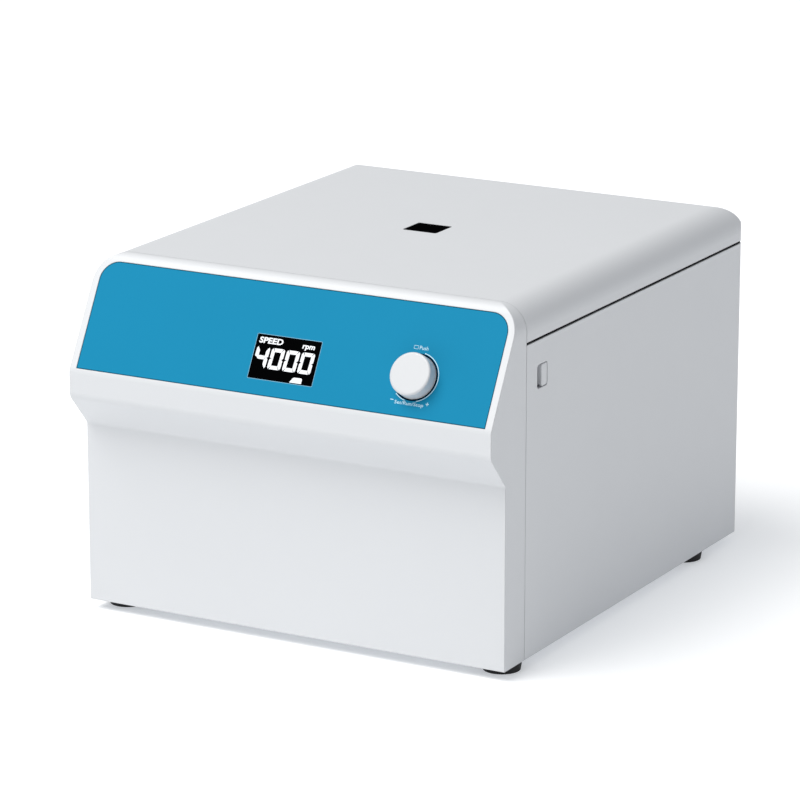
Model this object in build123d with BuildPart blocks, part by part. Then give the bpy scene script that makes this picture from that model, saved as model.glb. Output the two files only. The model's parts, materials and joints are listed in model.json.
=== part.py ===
from build123d import *
from math import cos, radians, sin
import os

# Bench mini centrifuge with a hinged lid and a sloped console.
# X runs to the right, Y to the rear and Z up from the bench, in millimetres.
# The origin is the middle of the footprint, on the bench.

os.makedirs("parts", exist_ok=True)

# Case, measured from its underside and from the lower front face
case_width = 280.0
case_height = 210.4
case_wall = 3.0
top_edge_radius = 16.5
rear_corner_radius = 4.0
cover_depth = 24.5
seam_gap = 0.4
fit_gap = 0.3

# Console on the front cover
front_face_height = 110.0
nose_reach = 17.8
nose_low = 130.0
nose_high = 146.0
slope_angle = 28.8
crest_radius = 8.0
nose_radius = 6.5
undercut_radius = 3.0

# Panel overlay, display and knob, placed up the slope from the overlay's lower edge
overlay_margin = 1.7
overlay_side = 4.4
overlay_top_gap = 4.9
overlay_corner = 12.0
overlay_thickness = 0.6
display_width = 42.6
display_height = 26.5
display_rise = 22.7
display_lip = 1.0
display_corner = 1.0
knob_side = 54.8
knob_rise = 23.6
knob_radius = 12.7
knob_height = 7.9
knob_edge = 1.2
knob_flare = 0.2
knob_well = 1.6
knob_gap = 0.9

# Control board and the knob's encoder behind the slope
board_depth = 14.0
board_shift = 16.4
board_rise = 27.0
board_width = 84.0
board_length = 40.0
board_inset = 5.0
board_thickness = 1.6
post_radius = 3.5
post_hole_depth = 8.0
encoder_size = 13.0
encoder_height = 5.0
encoder_cap = 1.0
encoder_shaft_radius = 3.0
bushing_radius = 4.5
shaft_hole_radius = 4.0
collar_radius = 4.0
collar_thickness = 1.2
collar_gap = 0.1
shaft_depth = 11.1

# Lid
lid_height = 23.1
lid_line = 1.6
lid_wall = 3.0
window_width = 23.0
window_length = 21.5
window_corner = 1.5
window_gap = 0.15
liner_thickness = 2.5
liner_dome_height = 9.0

# Chamber and rotor, with the room for the lock ahead of the chamber and for the hinges behind
front_room = 50.8
rear_room = 37.8
chamber_radius = 112.0
bowl_sheet = 1.2
bowl_flange = 8.0
bowl_floor = 76.2
bowl_corner = 14.0
deck_drop = 3.0
deck_thickness = 3.0
tube_count = 6
pocket_angle = 35.0
pocket_radius = 8.8
pocket_length = 75.0
pocket_wall = 4.0
rotor_side_gap = 6.5
rotor_floor_gap = 5.8
rotor_web = 9.0
hub_radius = 18.0
shaft_radius = 5.0

# Feet and fasteners
foot_height = 6.0
foot_radius = 12.0
foot_inset = 13.0
front_foot_depth = 21.5
rear_foot_inset = 51.0
m4_radius = 2.0
m3_radius = 1.5
m3_head_radius = 2.8
m3_head = 1.8
screw_gap = 0.1
screw_end = 2.0
running_gap = 0.04

# Hinges
hinge_side = 60.0
hinge_width = 40.0
hinge_leaf = 2.0
hinge_leaf_height = 24.0
knuckle_radius = 4.0
knuckle_offset = 4.5
hinge_pin_radius = 1.6

# Lid lock and the port in the right side that leads to it
bolt_drop = 13.5
port_drop = 2.0
port_depth = 44.1
port_length = 12.8
port_height = 14.0
port_corner = 2.0
finger_gap = 5.8
guide_bore = 2.5

# Levels and places that follow from the sizes above
slope_sin = sin(radians(slope_angle))
slope_cos = cos(radians(slope_angle))
half_width = case_width / 2
case_depth = front_room + rear_room + 2 * (chamber_radius + bowl_sheet)
lid_split = case_height - lid_height
slope_length = (case_height - nose_high) / slope_cos
overlay_width = case_width - 2 * overlay_side
overlay_length = slope_length - overlay_margin - overlay_top_gap
knob_x = half_width - knob_side
board_x = knob_x - board_shift
hinge_x = half_width - hinge_side
console_top = nose_high + overlay_margin * slope_cos
panel_low_y = -nose_reach + overlay_margin * slope_sin
knob_face_y = panel_low_y + knob_rise * slope_sin
front_reach = (
    (knob_height - knob_edge) * slope_cos
    + (knob_radius - knob_edge) * slope_sin
    + knob_edge
    - knob_face_y
)
rear_reach = knuckle_offset + knuckle_radius
front_y = (front_reach - rear_reach - case_depth) / 2
rear_y = front_y + case_depth
seam_y = front_y + cover_depth
base_z = foot_height
top_z = base_z + case_height
rim_z = base_z + lid_split - lid_line / 2
lid_z = base_z + lid_split + lid_line / 2
hinge_z = base_z + lid_split
hinge_y = rear_y + knuckle_offset
deck_top = rim_z - deck_drop
deck_z = deck_top - deck_thickness
rotor_y = front_y + front_room + chamber_radius + bowl_sheet
floor_z = base_z + bowl_floor
rotor_z = floor_z + rotor_floor_gap
bolt_z = deck_z - bolt_drop
port_z = bolt_z - port_drop
port_front_y = front_y + port_depth - port_length / 2
plug_length = port_length - finger_gap - fit_gap
guide_y = port_front_y + finger_gap + plug_length / 2

panel = Plane(
    origin=(0, front_y + panel_low_y, base_z + console_top),
    x_dir=(1, 0, 0),
    z_dir=(0, -slope_cos, slope_sin),
)
rotor_axis = Axis((0, rotor_y, 0), (0, 0, 1))


def console_side(inset):
    """Side outline of the front cover, seen along X, drawn inside its skin by the inset."""
    crest_y = -nose_reach + (case_height - nose_high) * slope_sin / slope_cos
    back_y = 2 * cover_depth
    points = [
        (0, 0),
        (0, front_face_height),
        (-nose_reach, nose_low),
        (-nose_reach, nose_high),
        (crest_y, case_height),
        (back_y, case_height),
        (back_y, 0),
    ]
    radii = [0, undercut_radius, nose_radius, nose_radius, crest_radius, 0, 0]
    with BuildSketch() as outline:
        with BuildLine():
            FilletPolyline(*points, radius=radii, close=True)
        make_face()
        if inset:
            offset(amount=-inset, kind=Kind.INTERSECTION)
    return outline.sketch.moved(Location((front_y, base_z, 0)))


def case_front(inset, bottom, top):
    """Front outline of the case between two heights, with its rounded top corners."""
    half = half_width - inset
    corner = top_edge_radius - inset
    with BuildSketch() as outline:
        with BuildLine():
            FilletPolyline(
                (-half, bottom),
                (half, bottom),
                (half, top),
                (-half, top),
                radius=[0, 0, corner, corner],
                close=True,
            )
        make_face()
    return outline.sketch


def case_plan(inset, start_y):
    """Plan outline of the case from a start line to the back, with its rear corners."""
    half = half_width - inset
    back = rear_y - inset
    corner = max(rear_corner_radius - inset, 0)
    with BuildSketch() as outline:
        with BuildLine():
            FilletPolyline(
                (-half, start_y),
                (half, start_y),
                (half, back),
                (-half, back),
                radius=[0, 0, corner, corner],
                close=True,
            )
        make_face()
    return outline.sketch


def overlay_outline(grow):
    """Outline of the panel overlay on the slope, with rounded upper corners."""
    half = overlay_width / 2 + grow
    with BuildSketch() as outline:
        with BuildLine():
            FilletPolyline(
                (-half, -grow),
                (half, -grow),
                (half, overlay_length + grow),
                (-half, overlay_length + grow),
                radius=[0, 0, overlay_corner + grow, overlay_corner + grow],
                close=True,
            )
        make_face()
    return outline.sketch


def console_skin(depth, grow):
    """Thin skin of the console's face under the overlay's outline, down to a depth."""
    outer = console_side(0)
    inner = console_side(depth)
    with BuildPart() as skin:
        with BuildSketch(Plane.YZ):
            add(outer)
            add(inner, mode=Mode.SUBTRACT)
        extrude(amount=half_width, both=True)
        with BuildSketch(panel):
            add(overlay_outline(grow))
        extrude(amount=cover_depth, both=True, mode=Mode.INTERSECT)
    return skin.part


# Front cover: a moulded shell with the console's slope, nose and crest
cover_outer = console_side(0)
cover_inner = console_side(case_wall)
cover_front = case_front(0, base_z, top_z)
cover_front_inner = case_front(case_wall, base_z - case_wall, top_z - case_wall)
cover_end_y = seam_y - seam_gap / 2
overlay_seat = console_skin(overlay_thickness, fit_gap / 3)

with BuildPart() as cover_hollow:
    with BuildSketch(Plane.YZ):
        add(cover_inner)
    extrude(amount=half_width, both=True)
    with BuildSketch(Plane.XZ.offset(-front_y)):
        add(cover_front_inner)
    extrude(amount=case_depth, both=True, mode=Mode.INTERSECT)

with BuildPart() as front_cover:
    with BuildSketch(Plane.YZ):
        add(cover_outer)
    extrude(amount=half_width, both=True)
    with BuildSketch(Plane.XZ.offset(-front_y)):
        add(cover_front)
    extrude(amount=case_depth, both=True, mode=Mode.INTERSECT)
    add(cover_hollow.part, mode=Mode.SUBTRACT)
    # The shell is open below, where the tray closes it
    with BuildSketch(Plane.XY.offset(base_z - 1)):
        with Locations((0, seam_y)):
            Rectangle(case_width - 2 * case_wall, 2 * (cover_depth - case_wall))
    extrude(amount=case_wall + 2, mode=Mode.SUBTRACT)
    # Bulkhead that the closed lid faces
    with BuildSketch(Plane.XY.offset(deck_z)):
        with Locations((0, cover_end_y - case_wall / 2)):
            Rectangle(case_width - case_wall, case_wall)
    extrude(amount=top_z - case_wall / 2 - deck_z)
    split(bisect_by=Plane.XZ.offset(-cover_end_y), keep=Keep.TOP)
    with BuildSketch(Plane.XZ.offset(-front_y)):
        add(cover_front)
    extrude(amount=case_depth, both=True, mode=Mode.INTERSECT)
    add(overlay_seat, mode=Mode.SUBTRACT)
    # Window for the display and bore for the knob's shaft, square to the slope
    with BuildSketch(panel):
        with Locations((0, display_rise)):
            Rectangle(display_width - 2 * display_lip, display_height - 2 * display_lip)
        with Locations((knob_x, knob_rise)):
            Circle(shaft_hole_radius)
    extrude(amount=2 * case_wall, both=True, mode=Mode.SUBTRACT)
    with BuildSketch(panel):
        with Locations((knob_x, knob_rise)):
            Circle(knob_radius + knob_flare + knob_gap)
    extrude(amount=knob_well, both=True, mode=Mode.SUBTRACT)
    # Posts for the control board
    with BuildSketch(panel.offset(-board_depth)):
        with Locations((board_x, board_rise)):
            with GridLocations(board_width - 2 * board_inset, board_length - 2 * board_inset, 2, 2):
                Circle(post_radius)
    extrude(amount=board_depth - case_wall / 2)
    with BuildSketch(panel.offset(-board_depth)):
        with Locations((board_x, board_rise)):
            with GridLocations(board_width - 2 * board_inset, board_length - 2 * board_inset, 2, 2):
                Circle(m3_radius + screw_gap)
    extrude(amount=post_hole_depth, mode=Mode.SUBTRACT)
front_cover.part.label = "front_cover"
export_step(front_cover.part, "parts/front_cover.step")

film_gap = 0.05
overlay_blank = console_skin(overlay_thickness - film_gap, 0)
with BuildPart() as panel_overlay:
    add(overlay_blank)
    with BuildSketch(panel):
        with Locations((0, display_rise)):
            RectangleRounded(display_width, display_height, display_corner)
        with Locations((knob_x, knob_rise)):
            Circle(knob_radius + knob_flare + knob_gap)
    extrude(amount=case_wall, both=True, mode=Mode.SUBTRACT)
panel_overlay.part.label = "panel_overlay"
export_step(panel_overlay.part, "parts/panel_overlay.step")

# Display: a clear window in the overlay and the display behind it
display_gap = 0.15
display_board_width = 56.0
display_board_height = 34.0
module_gap = 0.1

with BuildPart() as display_window:
    with BuildSketch(panel.offset(-overlay_thickness)):
        with Locations((0, display_rise)):
            RectangleRounded(
                display_width - 2 * display_gap,
                display_height - 2 * display_gap,
                display_corner - display_gap,
            )
    extrude(amount=overlay_thickness - film_gap)
display_window.part.label = "display_window"
export_step(display_window.part, "parts/display_window.step")

with BuildPart() as display_module:
    with BuildSketch(panel.offset(-overlay_thickness - module_gap)):
        with Locations((0, display_rise)):
            Rectangle(
                display_width - 2 * display_lip - 2 * fit_gap,
                display_height - 2 * display_lip - 2 * fit_gap,
            )
    extrude(amount=-(case_wall - overlay_thickness))
    with BuildSketch(panel.offset(-case_wall - module_gap)):
        with Locations((0, display_rise)):
            Rectangle(display_board_width, display_board_height)
    extrude(amount=-board_thickness)
display_module.part.label = "display_module"
export_step(display_module.part, "parts/display_module.step")

# Control board on the cover's posts, with the knob's encoder on it
with BuildPart() as control_board:
    with BuildSketch(panel.offset(-board_depth)):
        with Locations((board_x, board_rise)):
            Rectangle(board_width, board_length)
            with GridLocations(board_width - 2 * board_inset, board_length - 2 * board_inset, 2, 2):
                Circle(m3_radius + screw_gap, mode=Mode.SUBTRACT)
    extrude(amount=-board_thickness)
control_board.part.label = "control_board"
export_step(control_board.part, "parts/control_board.step")

with BuildPart() as encoder_body:
    with BuildSketch(panel.offset(-board_depth)):
        with Locations((knob_x, knob_rise)):
            Rectangle(encoder_size, encoder_size)
            Circle(collar_radius + fit_gap, mode=Mode.SUBTRACT)
    extrude(amount=encoder_height - encoder_cap)
    with BuildSketch(panel.offset(-board_depth + encoder_height - encoder_cap)):
        with Locations((knob_x, knob_rise)):
            Rectangle(encoder_size, encoder_size)
    extrude(amount=encoder_cap)
    with BuildSketch(panel.offset(-board_depth + encoder_height)):
        with Locations((knob_x, knob_rise)):
            Circle(bushing_radius)
    extrude(amount=board_depth - encoder_height - case_wall - fit_gap)
    with BuildSketch(panel.offset(-board_depth)):
        with Locations((knob_x, knob_rise)):
            Circle(encoder_shaft_radius + running_gap)
    extrude(amount=board_depth, mode=Mode.SUBTRACT)
encoder_body.part.label = "encoder_body"
export_step(encoder_body.part, "parts/encoder_body.step")

with BuildPart() as board_screws:
    board_back = panel.offset(-board_depth - board_thickness)
    with BuildSketch(board_back):
        with Locations((board_x, board_rise)):
            with GridLocations(board_width - 2 * board_inset, board_length - 2 * board_inset, 2, 2):
                Circle(m3_head_radius)
    extrude(amount=-m3_head)
    with BuildSketch(board_back):
        with Locations((board_x, board_rise)):
            with GridLocations(board_width - 2 * board_inset, board_length - 2 * board_inset, 2, 2):
                Circle(m3_radius)
    extrude(amount=board_thickness + post_hole_depth - screw_end)
board_screws.part.label = "board_screws"
export_step(board_screws.part, "parts/board_screws.step")

with BuildPart() as press_collar:
    with BuildSketch(panel.offset(-shaft_depth - collar_gap)):
        with Locations((knob_x, knob_rise)):
            Circle(collar_radius)
    extrude(amount=-collar_thickness)
press_collar.part.label = "press_collar"
export_step(press_collar.part, "parts/press_collar.step")

shaft_reach = 5.6
with BuildPart() as encoder_shaft:
    with BuildSketch(panel.offset(-shaft_depth)):
        with Locations((knob_x, knob_rise)):
            Circle(encoder_shaft_radius)
    extrude(amount=shaft_depth + shaft_reach)
encoder_shaft.part.label = "encoder_shaft"
export_step(encoder_shaft.part, "parts/encoder_shaft.step")

# Knob: a turned cap with a soft front edge, hollow round its hub
knob_base = -0.2
knob_skirt_radius = knob_radius + knob_flare
knob_wall = 2.2
knob_hub_radius = 5.5
knob_plane = Plane(
    origin=panel.from_local_coords(Vector(knob_x, knob_rise, 0)),
    x_dir=panel.x_dir,
    z_dir=-panel.y_dir,
)
with BuildPart() as knob:
    with BuildSketch(knob_plane):
        with BuildLine():
            FilletPolyline(
                (0, knob_base),
                (knob_skirt_radius, knob_base),
                (knob_radius, knob_height),
                (0, knob_height),
                radius=[0, 0, knob_edge, 0],
                close=True,
            )
        make_face()
        with BuildLine():
            Polyline(
                (knob_hub_radius, knob_base),
                (knob_skirt_radius - knob_wall, knob_base),
                (knob_radius - knob_wall, knob_height - knob_wall),
                (knob_hub_radius, knob_height - knob_wall),
                close=True,
            )
        make_face(mode=Mode.SUBTRACT)
        with BuildLine():
            Polyline(
                (0, knob_base),
                (encoder_shaft_radius + screw_gap, knob_base),
                (encoder_shaft_radius + screw_gap, shaft_reach + screw_gap),
                (0, shaft_reach + screw_gap),
                close=True,
            )
        make_face(mode=Mode.SUBTRACT)
    revolve(axis=Axis(knob_plane.origin, panel.z_dir))
knob.part.label = "knob"
export_step(knob.part, "parts/knob.step")

# Base tray: a sheet floor with folded edges, vent slots, the power board's posts and screw holes
sheet = 2.0
tray_half = half_width - case_wall - fit_gap
tray_front_y = front_y + case_wall + fit_gap
tray_rear_y = rear_y - case_wall - fit_gap
tray_top = base_z + sheet
fold_height = 10.0
fold_setback = 60.0
boss_hole = m3_radius + screw_gap
boss_side = 4.2
cover_boss_inset = 40.0
housing_boss_front = 60.0
housing_boss_rear = 22.0
cover_boss_y = front_y + case_wall + boss_side
housing_boss_x = half_width - case_wall - boss_side
housing_boss_y = (front_y + housing_boss_front, rear_y - housing_boss_rear)
foot_spots = [
    (side * (half_width - foot_inset), front_y + depth)
    for side in (-1, 1)
    for depth in (front_foot_depth, case_depth - rear_foot_inset)
]
boss_spots = [(side * (half_width - cover_boss_inset), cover_boss_y) for side in (-1, 1)]
boss_spots += [(side * housing_boss_x, y) for side in (-1, 1) for y in housing_boss_y]
motor_post_half = 48.0
power_board_width = 60.0
power_board_length = 96.0
power_board_inset = 5.0
power_board_side = 7.0
power_board_rear = 35.0
power_board_lift = 12.0
power_board_x = power_board_side + power_board_width / 2 + case_wall - half_width
power_board_y = rear_y - power_board_rear - power_board_length / 2
power_board_z = tray_top + power_board_lift
tray_vent_pitch = 12.0
tray_vent_rows = 150.0
tray_vent_count = 6
tray_vent_length = 34.0
tray_vent_width = 5.0

with BuildPart() as base_tray:
    with BuildSketch(Plane.XY.offset(base_z)):
        with Locations((0, (tray_front_y + tray_rear_y) / 2)):
            Rectangle(2 * tray_half, tray_rear_y - tray_front_y)
        with Locations(*foot_spots):
            Circle(m4_radius + screw_gap, mode=Mode.SUBTRACT)
        with Locations(*boss_spots):
            Circle(boss_hole, mode=Mode.SUBTRACT)
        with Locations((0, rotor_y)):
            with GridLocations(2 * motor_post_half, 2 * motor_post_half, 2, 2):
                Circle(m4_radius + screw_gap, mode=Mode.SUBTRACT)
            with GridLocations(tray_vent_pitch, tray_vent_rows, tray_vent_count, 2):
                SlotOverall(tray_vent_length, tray_vent_width, rotation=90, mode=Mode.SUBTRACT)
    extrude(amount=sheet)
    with BuildSketch(Plane.XY.offset(tray_top)):
        with Locations((0, rotor_y)):
            with GridLocations(2 * tray_half - sheet, 0, 2, 1):
                Rectangle(sheet, case_depth - 2 * fold_setback)
        with Locations((0, tray_rear_y - sheet / 2), (0, tray_front_y + sheet / 2)):
            Rectangle(case_width - 2 * fold_setback, sheet)
    extrude(amount=fold_height)
    # Posts for the power board
    with BuildSketch(Plane.XY.offset(tray_top)):
        with Locations((power_board_x, power_board_y)):
            with GridLocations(
                power_board_width - 2 * power_board_inset,
                power_board_length - 2 * power_board_inset,
                2,
                2,
            ):
                Circle(post_radius)
    extrude(amount=power_board_lift)
base_tray.part.label = "base_tray"
export_step(base_tray.part, "parts/base_tray.step")

# Rubber feet, each held by a screw and a nut through the tray
foot_well_radius = 4.2
foot_well = 3.0
pan_head_radius = 3.8
pan_head = 2.2
nut_height = 3.2
nut_radius = 4.04
foot_screw_reach = 12.4
foot_draft = 1.0

with BuildPart() as rubber_feet:
    for spot in foot_spots:
        with BuildSketch(Plane.XY.offset(0)):
            with Locations(spot):
                Circle(foot_radius - foot_draft)
        with BuildSketch(Plane.XY.offset(foot_height)):
            with Locations(spot):
                Circle(foot_radius)
        loft()
    with BuildSketch(Plane.XY):
        with Locations(*foot_spots):
            Circle(foot_well_radius)
    extrude(amount=foot_well, mode=Mode.SUBTRACT)
    with BuildSketch(Plane.XY):
        with Locations(*foot_spots):
            Circle(m4_radius + screw_gap)
    extrude(amount=foot_height, mode=Mode.SUBTRACT)
rubber_feet.part.label = "rubber_feet"
export_step(rubber_feet.part, "parts/rubber_feet.step")

with BuildPart() as foot_screws:
    with BuildSketch(Plane.XY.offset(foot_well - pan_head)):
        with Locations(*foot_spots):
            Circle(pan_head_radius)
    extrude(amount=pan_head)
    with BuildSketch(Plane.XY.offset(foot_well)):
        with Locations(*foot_spots):
            Circle(m4_radius)
    extrude(amount=foot_screw_reach - foot_well)
foot_screws.part.label = "foot_screws"
export_step(foot_screws.part, "parts/foot_screws.step")

with BuildPart() as foot_nuts:
    with BuildSketch(Plane.XY.offset(tray_top)):
        with Locations(*foot_spots):
            RegularPolygon(nut_radius, 6)
            Circle(m4_radius + screw_gap, mode=Mode.SUBTRACT)
    extrude(amount=nut_height)
foot_nuts.part.label = "foot_nuts"
export_step(foot_nuts.part, "parts/foot_nuts.step")

# Rear housing: both sides and the back in one moulding, with a ledge for the deck
ledge_depth = 4.0
ledge_height = 3.0
boss_height = 20.0
boss_radius = 4.5
boss_cap = 3.0
vent_count = 8
vent_pitch = 10.0
vent_width = 4.0
vent_height = 36.0
vent_side = 62.0
vent_rise = 42.0
vent_z = base_z + vent_rise
inlet_side = 52.0
inlet_rise = 40.0
inlet_z = base_z + inlet_rise
inlet_width = 28.0
inlet_height = 30.0
inlet_screw_pitch = 40.0
switch_pitch = 42.0
switch_rise = 40.0
switch_z = base_z + switch_rise
switch_width = 12.6
switch_height = 18.6
hinge_screw_half = 12.0
hinge_screw_drop = 16.0
vent_x = vent_side - half_width
inlet_x = half_width - inlet_side
switch_x = inlet_x - switch_pitch
housing_start_y = seam_y + seam_gap / 2
housing_outer = case_plan(0, housing_start_y)
housing_inner = case_plan(case_wall, housing_start_y - 1)
ledge_outer = case_plan(case_wall / 2, housing_start_y + 1)
ledge_inner = case_plan(case_wall + ledge_depth, housing_start_y - 1)
back_plane = Plane(origin=(0, rear_y, 0), x_dir=(1, 0, 0), z_dir=(0, -1, 0))

with BuildPart() as rear_housing:
    with BuildSketch(Plane.XY.offset(base_z)):
        add(housing_outer)
        add(housing_inner, mode=Mode.SUBTRACT)
    extrude(amount=rim_z - base_z)
    with BuildSketch(Plane.XY.offset(deck_z - ledge_height)):
        add(ledge_outer)
        add(ledge_inner, mode=Mode.SUBTRACT)
    extrude(amount=ledge_height)
    with BuildSketch(Plane.XY.offset(tray_top)):
        with Locations(*boss_spots[2:]):
            Circle(boss_radius)
    extrude(amount=boss_height)
    with BuildSketch(Plane.XY.offset(tray_top)):
        with Locations(*boss_spots[2:]):
            Circle(boss_hole)
    extrude(amount=boss_height - boss_cap, mode=Mode.SUBTRACT)
    with BuildSketch(Plane.YZ.offset(half_width + 1)):
        with Locations((front_y + port_depth, port_z)):
            RectangleRounded(port_length, port_height, port_corner)
    extrude(amount=-case_wall - 2, mode=Mode.SUBTRACT)
    with BuildSketch(back_plane.offset(-1)):
        with Locations((vent_x, vent_z)):
            with GridLocations(vent_pitch, 0, vent_count, 1):
                SlotOverall(vent_height, vent_width, rotation=90)
        with Locations((inlet_x, inlet_z)):
            Rectangle(inlet_width + 2 * fit_gap, inlet_height + 2 * fit_gap)
        with Locations((switch_x, switch_z)):
            Rectangle(switch_width + 2 * fit_gap, switch_height + 2 * fit_gap)
        with Locations((-hinge_x, hinge_z - hinge_screw_drop), (hinge_x, hinge_z - hinge_screw_drop)):
            with GridLocations(2 * hinge_screw_half, 0, 2, 1):
                Circle(boss_hole)
        with Locations((inlet_x, inlet_z)):
            with GridLocations(inlet_screw_pitch, 0, 2, 1):
                Circle(boss_hole)
    extrude(amount=case_wall + 2, mode=Mode.SUBTRACT)
rear_housing.part.label = "rear_housing"
export_step(rear_housing.part, "parts/rear_housing.step")

tray_screw_length = 12.0
with BuildPart() as tray_screws:
    with BuildSketch(Plane.XY.offset(base_z - m3_head)):
        with Locations(*boss_spots):
            Circle(m3_head_radius)
    extrude(amount=m3_head)
    with BuildSketch(Plane.XY.offset(base_z)):
        with Locations(*boss_spots):
            Circle(m3_radius)
    extrude(amount=tray_screw_length)
tray_screws.part.label = "tray_screws"
export_step(tray_screws.part, "parts/tray_screws.step")

# Release guide: a flanged tube behind the port in the right side, aimed at the lock's bolt
guide_end_x = 22.0
guide_radius = 4.2
guide_flange = 3.0
flange_lap = 3.0
flange_x = half_width - case_wall - 0.1
with BuildPart() as release_guide:
    with BuildSketch(Plane.YZ.offset(flange_x)):
        with Locations((front_y + port_depth, port_z)):
            RectangleRounded(port_length + 2 * flange_lap, port_height + 2 * flange_lap, flange_lap)
    extrude(amount=-guide_flange)
    with BuildSketch(Plane.YZ.offset(flange_x)):
        with Locations((guide_y, port_z)):
            Circle(guide_radius)
    extrude(amount=guide_end_x - flange_x)
    with BuildSketch(Plane.YZ.offset(flange_x)):
        with Locations((guide_y, port_z)):
            Circle(guide_bore)
    extrude(amount=guide_end_x - flange_x, mode=Mode.SUBTRACT)
release_guide.part.label = "release_guide"
export_step(release_guide.part, "parts/release_guide.step")

# Plug that closes the guide: a block in the rear of the port, with a finger gap before it
plug_sink = 0.2
plug_top_gap = 0.6
plug_corner = 1.2
plug_edge = 0.4
peg_length = 8.0
plug_height = port_height - fit_gap - plug_top_gap
plug_z = port_z + (fit_gap - plug_top_gap) / 2
with BuildPart() as release_plug:
    with BuildSketch(Plane.YZ.offset(flange_x)):
        with Locations((guide_y, plug_z)):
            RectangleRounded(plug_length, plug_height, plug_corner)
    extrude(amount=half_width - plug_sink - flange_x)
    fillet(release_plug.faces().sort_by(Axis.X)[-1].edges(), plug_edge)
    with BuildSketch(Plane.YZ.offset(flange_x)):
        with Locations((guide_y, port_z)):
            Circle(guide_bore - running_gap)
    extrude(amount=-peg_length)
release_plug.part.label = "release_plug"
export_step(release_plug.part, "parts/release_plug.step")

# Top deck: the plate round the chamber, with a slot for the lid's striker
inner_corner = rear_corner_radius / 2
deck_half = half_width - case_wall - fit_gap
deck_front_y = seam_y + seam_gap / 4
deck_rear_y = rear_y - case_wall - fit_gap
bowl_hole = chamber_radius + bowl_sheet + fit_gap
striker_depth = 36.0
slot_width = 14.0
slot_front = 27.9
slot_rear = 43.6
bracket_screw_left = 66.0
bracket_screw_mid = 18.0
bracket_screw_right = 46.0
bracket_screw_front = 31.0
bracket_screw_rear = 46.0
bracket_screw_spots = [
    (-bracket_screw_left, front_y + bracket_screw_front),
    (bracket_screw_mid, front_y + bracket_screw_front),
    (-bracket_screw_left, front_y + bracket_screw_rear),
    (bracket_screw_right, front_y + bracket_screw_rear),
]

with BuildPart() as top_deck:
    with BuildSketch(Plane.XY.offset(deck_z)):
        with Locations((0, (deck_front_y + deck_rear_y) / 2)):
            Rectangle(2 * deck_half, deck_rear_y - deck_front_y)
        with Locations((0, rotor_y)):
            Circle(bowl_hole, mode=Mode.SUBTRACT)
        with Locations((0, front_y + (slot_front + slot_rear) / 2)):
            Rectangle(slot_width, slot_rear - slot_front, mode=Mode.SUBTRACT)
        with Locations(*bracket_screw_spots):
            Circle(boss_hole, mode=Mode.SUBTRACT)
    extrude(amount=deck_thickness)
    with BuildSketch(Plane.XY.offset(deck_top)):
        with Locations((0, deck_front_y + case_wall / 2)):
            Rectangle(2 * deck_half, case_wall)
    extrude(amount=deck_drop)
    vertical = top_deck.edges().filter_by(Axis.Z)
    fillet(vertical.sort_by(Axis.Y)[-2:], inner_corner)
top_deck.part.label = "top_deck"
export_step(top_deck.part, "parts/top_deck.step")

# Chamber bowl: spun sheet with a rolled corner and a flange that lies on the deck
floor_hole = 11.0
flange_radius = chamber_radius + bowl_flange
rotor_plane = Plane(origin=(0, rotor_y, 0), x_dir=(1, 0, 0), z_dir=(0, -1, 0))
with BuildPart() as chamber_bowl:
    with BuildSketch(rotor_plane):
        with BuildLine():
            FilletPolyline(
                (floor_hole, floor_z - bowl_sheet),
                (chamber_radius + bowl_sheet, floor_z - bowl_sheet),
                (chamber_radius + bowl_sheet, deck_top),
                (flange_radius, deck_top),
                (flange_radius, deck_top + bowl_sheet),
                (chamber_radius, deck_top + bowl_sheet),
                (chamber_radius, floor_z),
                (floor_hole, floor_z),
                radius=[0, bowl_corner + bowl_sheet, 0, 0, 0, 1.0, bowl_corner, 0],
                close=True,
            )
        make_face()
    revolve(axis=rotor_axis)
chamber_bowl.part.label = "chamber_bowl"
export_step(chamber_bowl.part, "parts/chamber_bowl.step")

gasket_inner = chamber_radius + 1.5
gasket_outer = flange_radius - 0.5
liner_rise = 0.9
liner_z = lid_z + liner_rise
gasket_top = liner_z - fit_gap
with BuildPart() as chamber_gasket:
    with BuildSketch(rotor_plane):
        with BuildLine():
            FilletPolyline(
                (gasket_inner, deck_top + bowl_sheet),
                (gasket_outer, deck_top + bowl_sheet),
                (gasket_outer, gasket_top),
                (gasket_inner, gasket_top),
                radius=[0, 0, 1.5, 1.5],
                close=True,
            )
        make_face()
    revolve(axis=rotor_axis)
chamber_gasket.part.label = "chamber_gasket"
export_step(chamber_gasket.part, "parts/chamber_gasket.step")

# Drive: the motor hangs under a plate on four rubber mounts that stand on posts
plate_rise = 64.0
plate_z = base_z + plate_rise
plate_thickness = 3.0
plate_size = 120.0
plate_corner = 12.0
plate_hole_radius = 7.0
plate_hole_reach = 9.0
motor_radius = 41.0
motor_rise = 6.0
motor_low = base_z + motor_rise
motor_wall = 3.0
end_wall = 4.0
bearing_radius = 11.0
bearing_height = 7.0
bearing_hub = 14.0
bearing_seat = 8.0
stator_inner = 24.5
stator_height = 34.0
armature_radius = 24.0
armature_height = 30.0
mount_height = 18.0
mount_radius = 8.0
mount_waist = 4.0
mount_waist_reach = 2.5
post_body_radius = 6.0
motor_screw_radius = 28.0
post_top = plate_z - mount_height

with BuildPart() as support_posts:
    with BuildSketch(Plane.XY.offset(tray_top)):
        with Locations((0, rotor_y)):
            with GridLocations(2 * motor_post_half, 2 * motor_post_half, 2, 2):
                Circle(post_body_radius)
                Circle(m4_radius + screw_gap, mode=Mode.SUBTRACT)
    extrude(amount=post_top - tray_top)
support_posts.part.label = "support_posts"
export_step(support_posts.part, "parts/support_posts.step")

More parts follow.
